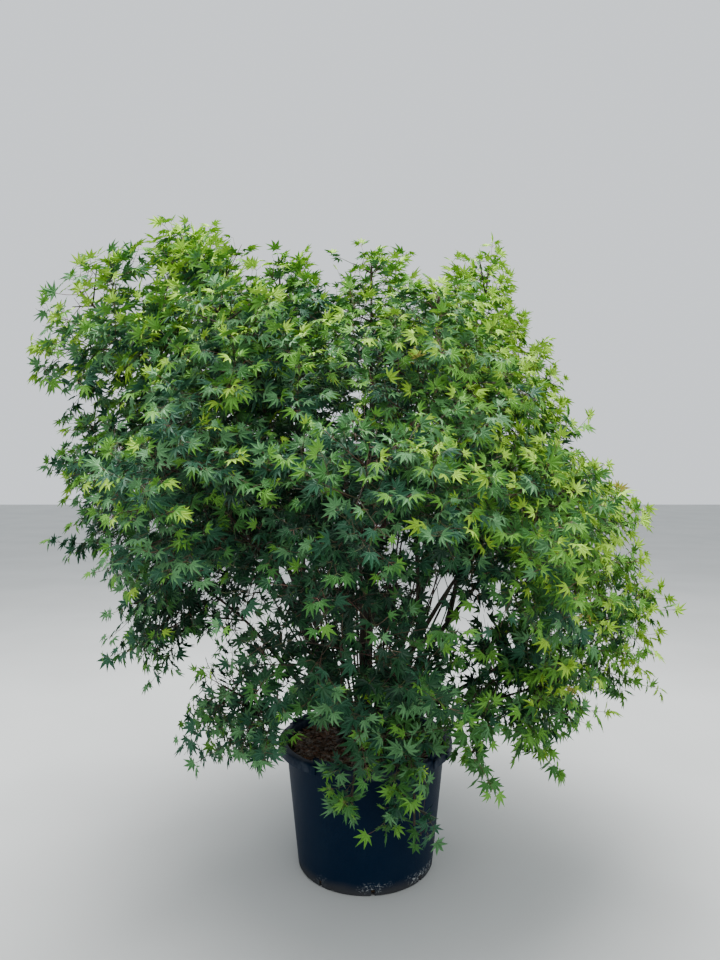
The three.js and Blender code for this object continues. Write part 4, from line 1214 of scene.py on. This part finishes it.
centres = np.array([space.centre for space in SPACES])
for index, space in enumerate(SPACES):
    draw = random_from(FIRST_SEED + index)
    own = space.name if space.name in coarse else "trunk"
    twigs = grow_twigs(coarse[own], coarse_radii[own], space, draw)
    wood_lines += twigs

    def in_space(points):
        return space.shades(points, SPACE_SWELL, SHOOT_OVERLAP)

    branches = [(branchlet, in_space) for line, _, _ in twigs
                for branchlet in grow_shoots(line, in_space, draw, BRANCHLET)]
    near = [stem for stem in young_stems if np.linalg.norm(centres - stem[-1], axis=1).argmin() == index]
    for line in [coarse[own], *near]:
        branches += [(branchlet, in_crown) for branchlet in grow_shoots(line, in_crown, draw, SIDE_BRANCHLET)]
    sprays = []
    leaders = []
    lead = random_from(LEADER_SEED + index)
    for branchlet, fits in branches:
        if draw() > THINNED.get(space.name, 1):
            continue
        branchlet_lines.append(branchlet)
        shoots = grow_shoots(branchlet, fits, draw, SHOOT)
        shoot_lines += shoots
        sprays += [(branchlet, BRANCHLET_BARE)] + [(shoot, SHOOT_BARE) for shoot in shoots]
        leader = grow_leader(branchlet, lead)
        if leader is not None:
            leaders.append(leader)
    shoot_lines += leaders
    sprays = [(line, bare, draw) for line, bare in sprays]
    sprays += [(leader, LEADER_BARE, lead) for leader in leaders]
    for line, bare, chance in sprays:
        tone = spray_tone_and_painted_light(line[2], chance)
        length = np.linalg.norm(line[2] - line[0])
        pairs = max(1, round(length * (1 - bare) / LEAF_SPACING))
        onward = unit(line[2] - line[1])
        for pair in range(pairs + 1):
            share = bare + (LAST_LEAVES - bare) * pair / pairs
            node = point_along(line, share)
            last = pair == pairs
            for way in END_WAYS if last else (1, -1):
                stalk, along, face = leaf_directions(onward, way, node, chance, pair)
                root = node + stalk * between_limits(STALK_LENGTHS, chance())
                length = between_limits(LEAF_SIZES, chance())
                length = length * (END_LEAF if last else 1) * LARGER.get(space.name, 1)
                tone_here = FRESHER[tone] if last else tone
                if last and chance() < BRIGHT_ENDS[0] * node[2] - BRIGHT_ENDS[1]:
                    tone_here = FRESHER[tone_here]
                droop, fold = chance(), chance()
                is_bare = any(a < root[0] < b and c < root[2] < d for a, b, c, d in BARE_PLACES)
                if has_room(root + along * length / 2) and not (is_bare and droop > BARE_SHARE):
                    leaf_rows.append({"mass": index, "tone": tone_here, "node": node, "root": root,
                                      "along": along, "face": face, "length": length,
                                      "droop": droop, "fold": fold})


def gap_to_limbs(points):
    """How far points lie from the bark of the nearest limb."""
    best = np.full(len(points), np.inf)
    for start, end, girth in zip(limb_starts, limb_ends, limb_girths):
        line = end - start
        t = np.clip((points - start) @ line / line.dot(line), 0, 1)
        best = np.minimum(best, np.linalg.norm(points - start - t[:, None] * line, axis=1) - girth)
    return best


def leaf_blades(rows, outline, rng):
    """The points of many leaves, the foot of each first, and which of them have room where they are."""
    keys = ("root", "along", "face", "length", "droop", "fold")
    roots, alongs, faces_up, lengths, droops, folds = (np.array([row[key] for row in rows]) for key in keys)
    angle, reach, lift = np.radians(outline[:, 0]), outline[:, 1], outline[:, 2]
    across = np.cross(faces_up, alongs)
    reach = reach[None] * (1 + rng.normal(0, LOBE_UNEVENNESS, (len(rows), len(outline))))
    height = lift * (0.5 + folds[:, None]) - (DROOPS[0] + DROOPS[1] * droops[:, None]) * reach ** 2
    blade = (alongs[:, None] * (reach * np.cos(angle))[..., None]
             + across[:, None] * (reach * np.sin(angle))[..., None] + faces_up[:, None] * height[..., None])
    blade = roots[:, None] + blade * lengths[:, None, None]
    blade = np.concatenate([roots[:, None], blade], 1)
    fits = ((blade >= low) & (blade <= high)).all((1, 2)) & keeps_off_pot(blade).all(1)
    fits &= in_crown(blade, LEAF_SWELL).all(1)
    gaps = gap_to_limbs(blade[:, ::2].reshape(-1, 3)).reshape(len(blade), -1)
    return blade, fits & (gaps > LEAF_CLEARANCE).all(1)


def even_rods(lines, radius, taper):
    """Three-sided rods that all taper alike."""
    return rods(lines, np.full(len(lines), radius), np.full(len(lines), radius * taper), 3)


def batches(items, most):
    """Consecutive parts of a list, with their numbers from 1."""
    return [(i // most + 1, items[i:i + most]) for i in range(0, len(items), most)]


def mottled(name, roughness, specular, grain, limits, colours):
    """A finish of two colours in soft patches; grain is the scale and the detail of their noise."""
    material, shader, place = new_finish(name, roughness, specular)
    link(shader, "Base Color", place.noise(*grain).between(*limits).mix(*colours))
    return material, shader, place


TWIG_COLOURS = ((0.024, 0.020, 0.013, 1), (0.058, 0.038, 0.026, 1))
SHOOT_COLOURS = ((0.075, 0.032, 0.022, 1), (0.048, 0.058, 0.022, 1))
STALK_COLOURS = ((0.125, 0.045, 0.030, 1), (0.080, 0.105, 0.034, 1))

foliage_nodes = ["foliage_" + name for name, _, _ in MASSES]
wood, shader, place = mottled("twig_bark", 0.75, 0.3, (26.0, 3.0), (0.38, 0.66), TWIG_COLOURS)
relief(shader, place.noise(300.0, 2.0), 0.0008)
young_wood, _, _ = mottled("shoot_bark", 0.6, 0.4, (9.0, 3.0), (0.40, 0.62), SHOOT_COLOURS)
stalk_skin, _, _ = mottled("leaf_stalks", 0.55, 0.4, (6.0, 2.0), (0.38, 0.62), STALK_COLOURS)

parts = []
for spans, facets in ((STEM_SPANS, 8), (TWIG_SPANS, 6)):
    parts.append(rods(*zip(*[row for row in wood_lines if len(row[0]) == spans + 1]), facets))
points, corners = joined(parts)
finished(mesh_piece("twigs", points, corners, smooth=True), wood, foliage_nodes)

for name, lines, radius in (("branchlets", branchlet_lines, BRANCHLET_RADIUS),
                            ("young_shoots", shoot_lines, SHOOT_RADIUS)):
    points, corners = even_rods(lines, radius, SHOOT_TAPER)
    finished(mesh_piece(name, points, corners, smooth=True), young_wood, foliage_nodes)

rng = np.random.default_rng(37)
ways_out = np.array([way_out(row["node"]) for row in leaf_rows])
stalk_lines = []
for kind, lobes, chosen in (("leaves", LOBES, ways_out >= INNER_RIM),
                            ("inner_leaves", PLAIN_LOBES, ways_out < INNER_RIM)):
    rows = [leaf_rows[i] for i in np.flatnonzero(chosen)]
    outline = leaf_outline(lobes, kind == "leaves")
    blade, kept = leaf_blades(rows, outline, rng)
    corner_count = len(outline)
    ring = np.arange(corner_count)
    leaf_faces = np.stack([np.zeros(corner_count, int), 1 + ring, 1 + (ring + 1) % corner_count], 1)
    if kind == "leaves":
        stalk_lines = [(row["node"], row["root"] + row["along"] * STALK_LAP)
                       for row, is_kept in zip(rows, kept) if is_kept]
    for tone, colour in LEAF_COLOURS.items():
        leaf_skin = bpy.data.materials.get("leaf_" + tone)
        if leaf_skin is None:
            leaf_skin, shader, _ = new_finish("leaf_" + tone, 0.55, 0.25)
            shader.inputs["Base Color"].default_value = colour
        chosen = np.flatnonzero(kept & np.array([row["tone"] == tone for row in rows]))
        for number, some in batches(chosen, MOST_TRIANGLES // corner_count):
            starts = (corner_count + 1) * np.arange(len(some))[:, None, None]
            corners = (leaf_faces[None] + starts).reshape(-1, 3)
            leaves = mesh_piece(f"{kind}_{tone}_{number}", blade[some].reshape(-1, 3), corners)
            finished(leaves, leaf_skin, sorted({foliage_nodes[rows[i]["mass"]] for i in some}))

for number, some in batches(stalk_lines, MOST_TRIANGLES // STALK_TRIANGLES):
    points, corners = even_rods(some, STALK_RADIUS, STALK_TAPER)
    finished(mesh_piece(f"leaf_stalks_{number}", points, corners), stalk_skin, foliage_nodes)

# Studio: a plain pale floor in an evenly bright room, with two large soft lights, a strong one
# overhead and a weak one high in front.
FLOOR_SIZE = 60.0
FLOOR_COLOURS = ((0.46, 0.47, 0.46, 1), (0.50, 0.51, 0.50, 1))
SKY_COLOUR = (0.90, 0.95, 1.0, 1)
SKY_STRENGTH = 1.1
CROWN_AIM = (0, 0, 1.2)

bpy.ops.object.select_all(action="DESELECT")
bpy.ops.mesh.primitive_plane_add(size=FLOOR_SIZE, location=(0, 0, 0))
floor = bpy.context.object
floor.name = "studio_floor"
pale, _, _ = mottled("pale_floor", 0.9, 0.2, (0.8, 2.0), (0.3, 0.7), FLOOR_COLOURS)
floor.data.materials.append(pale)

world = bpy.data.worlds.new("studio")
world.use_nodes = True
sky = world.node_tree.nodes["Background"]
sky.inputs["Color"].default_value = SKY_COLOUR
sky.inputs["Strength"].default_value = SKY_STRENGTH
bpy.context.scene.world = world


def soft_light(name, place, size, power):
    """A large square light that looks at the crown."""
    lamp = bpy.data.objects.new(name, bpy.data.lights.new(name, "AREA"))
    lamp.data.size = size
    lamp.data.energy = power
    lamp.location = place
    lamp.rotation_euler = (Vector(CROWN_AIM) - Vector(place)).to_track_quat("-Z", "Y").to_euler()
    bpy.context.scene.collection.objects.link(lamp)


soft_light("sky_light", (-0.3, 0.2, 6.0), 5.0, 1000)
soft_light("front_light", (1.5, -5.0, 4.0), 3.5, 120)
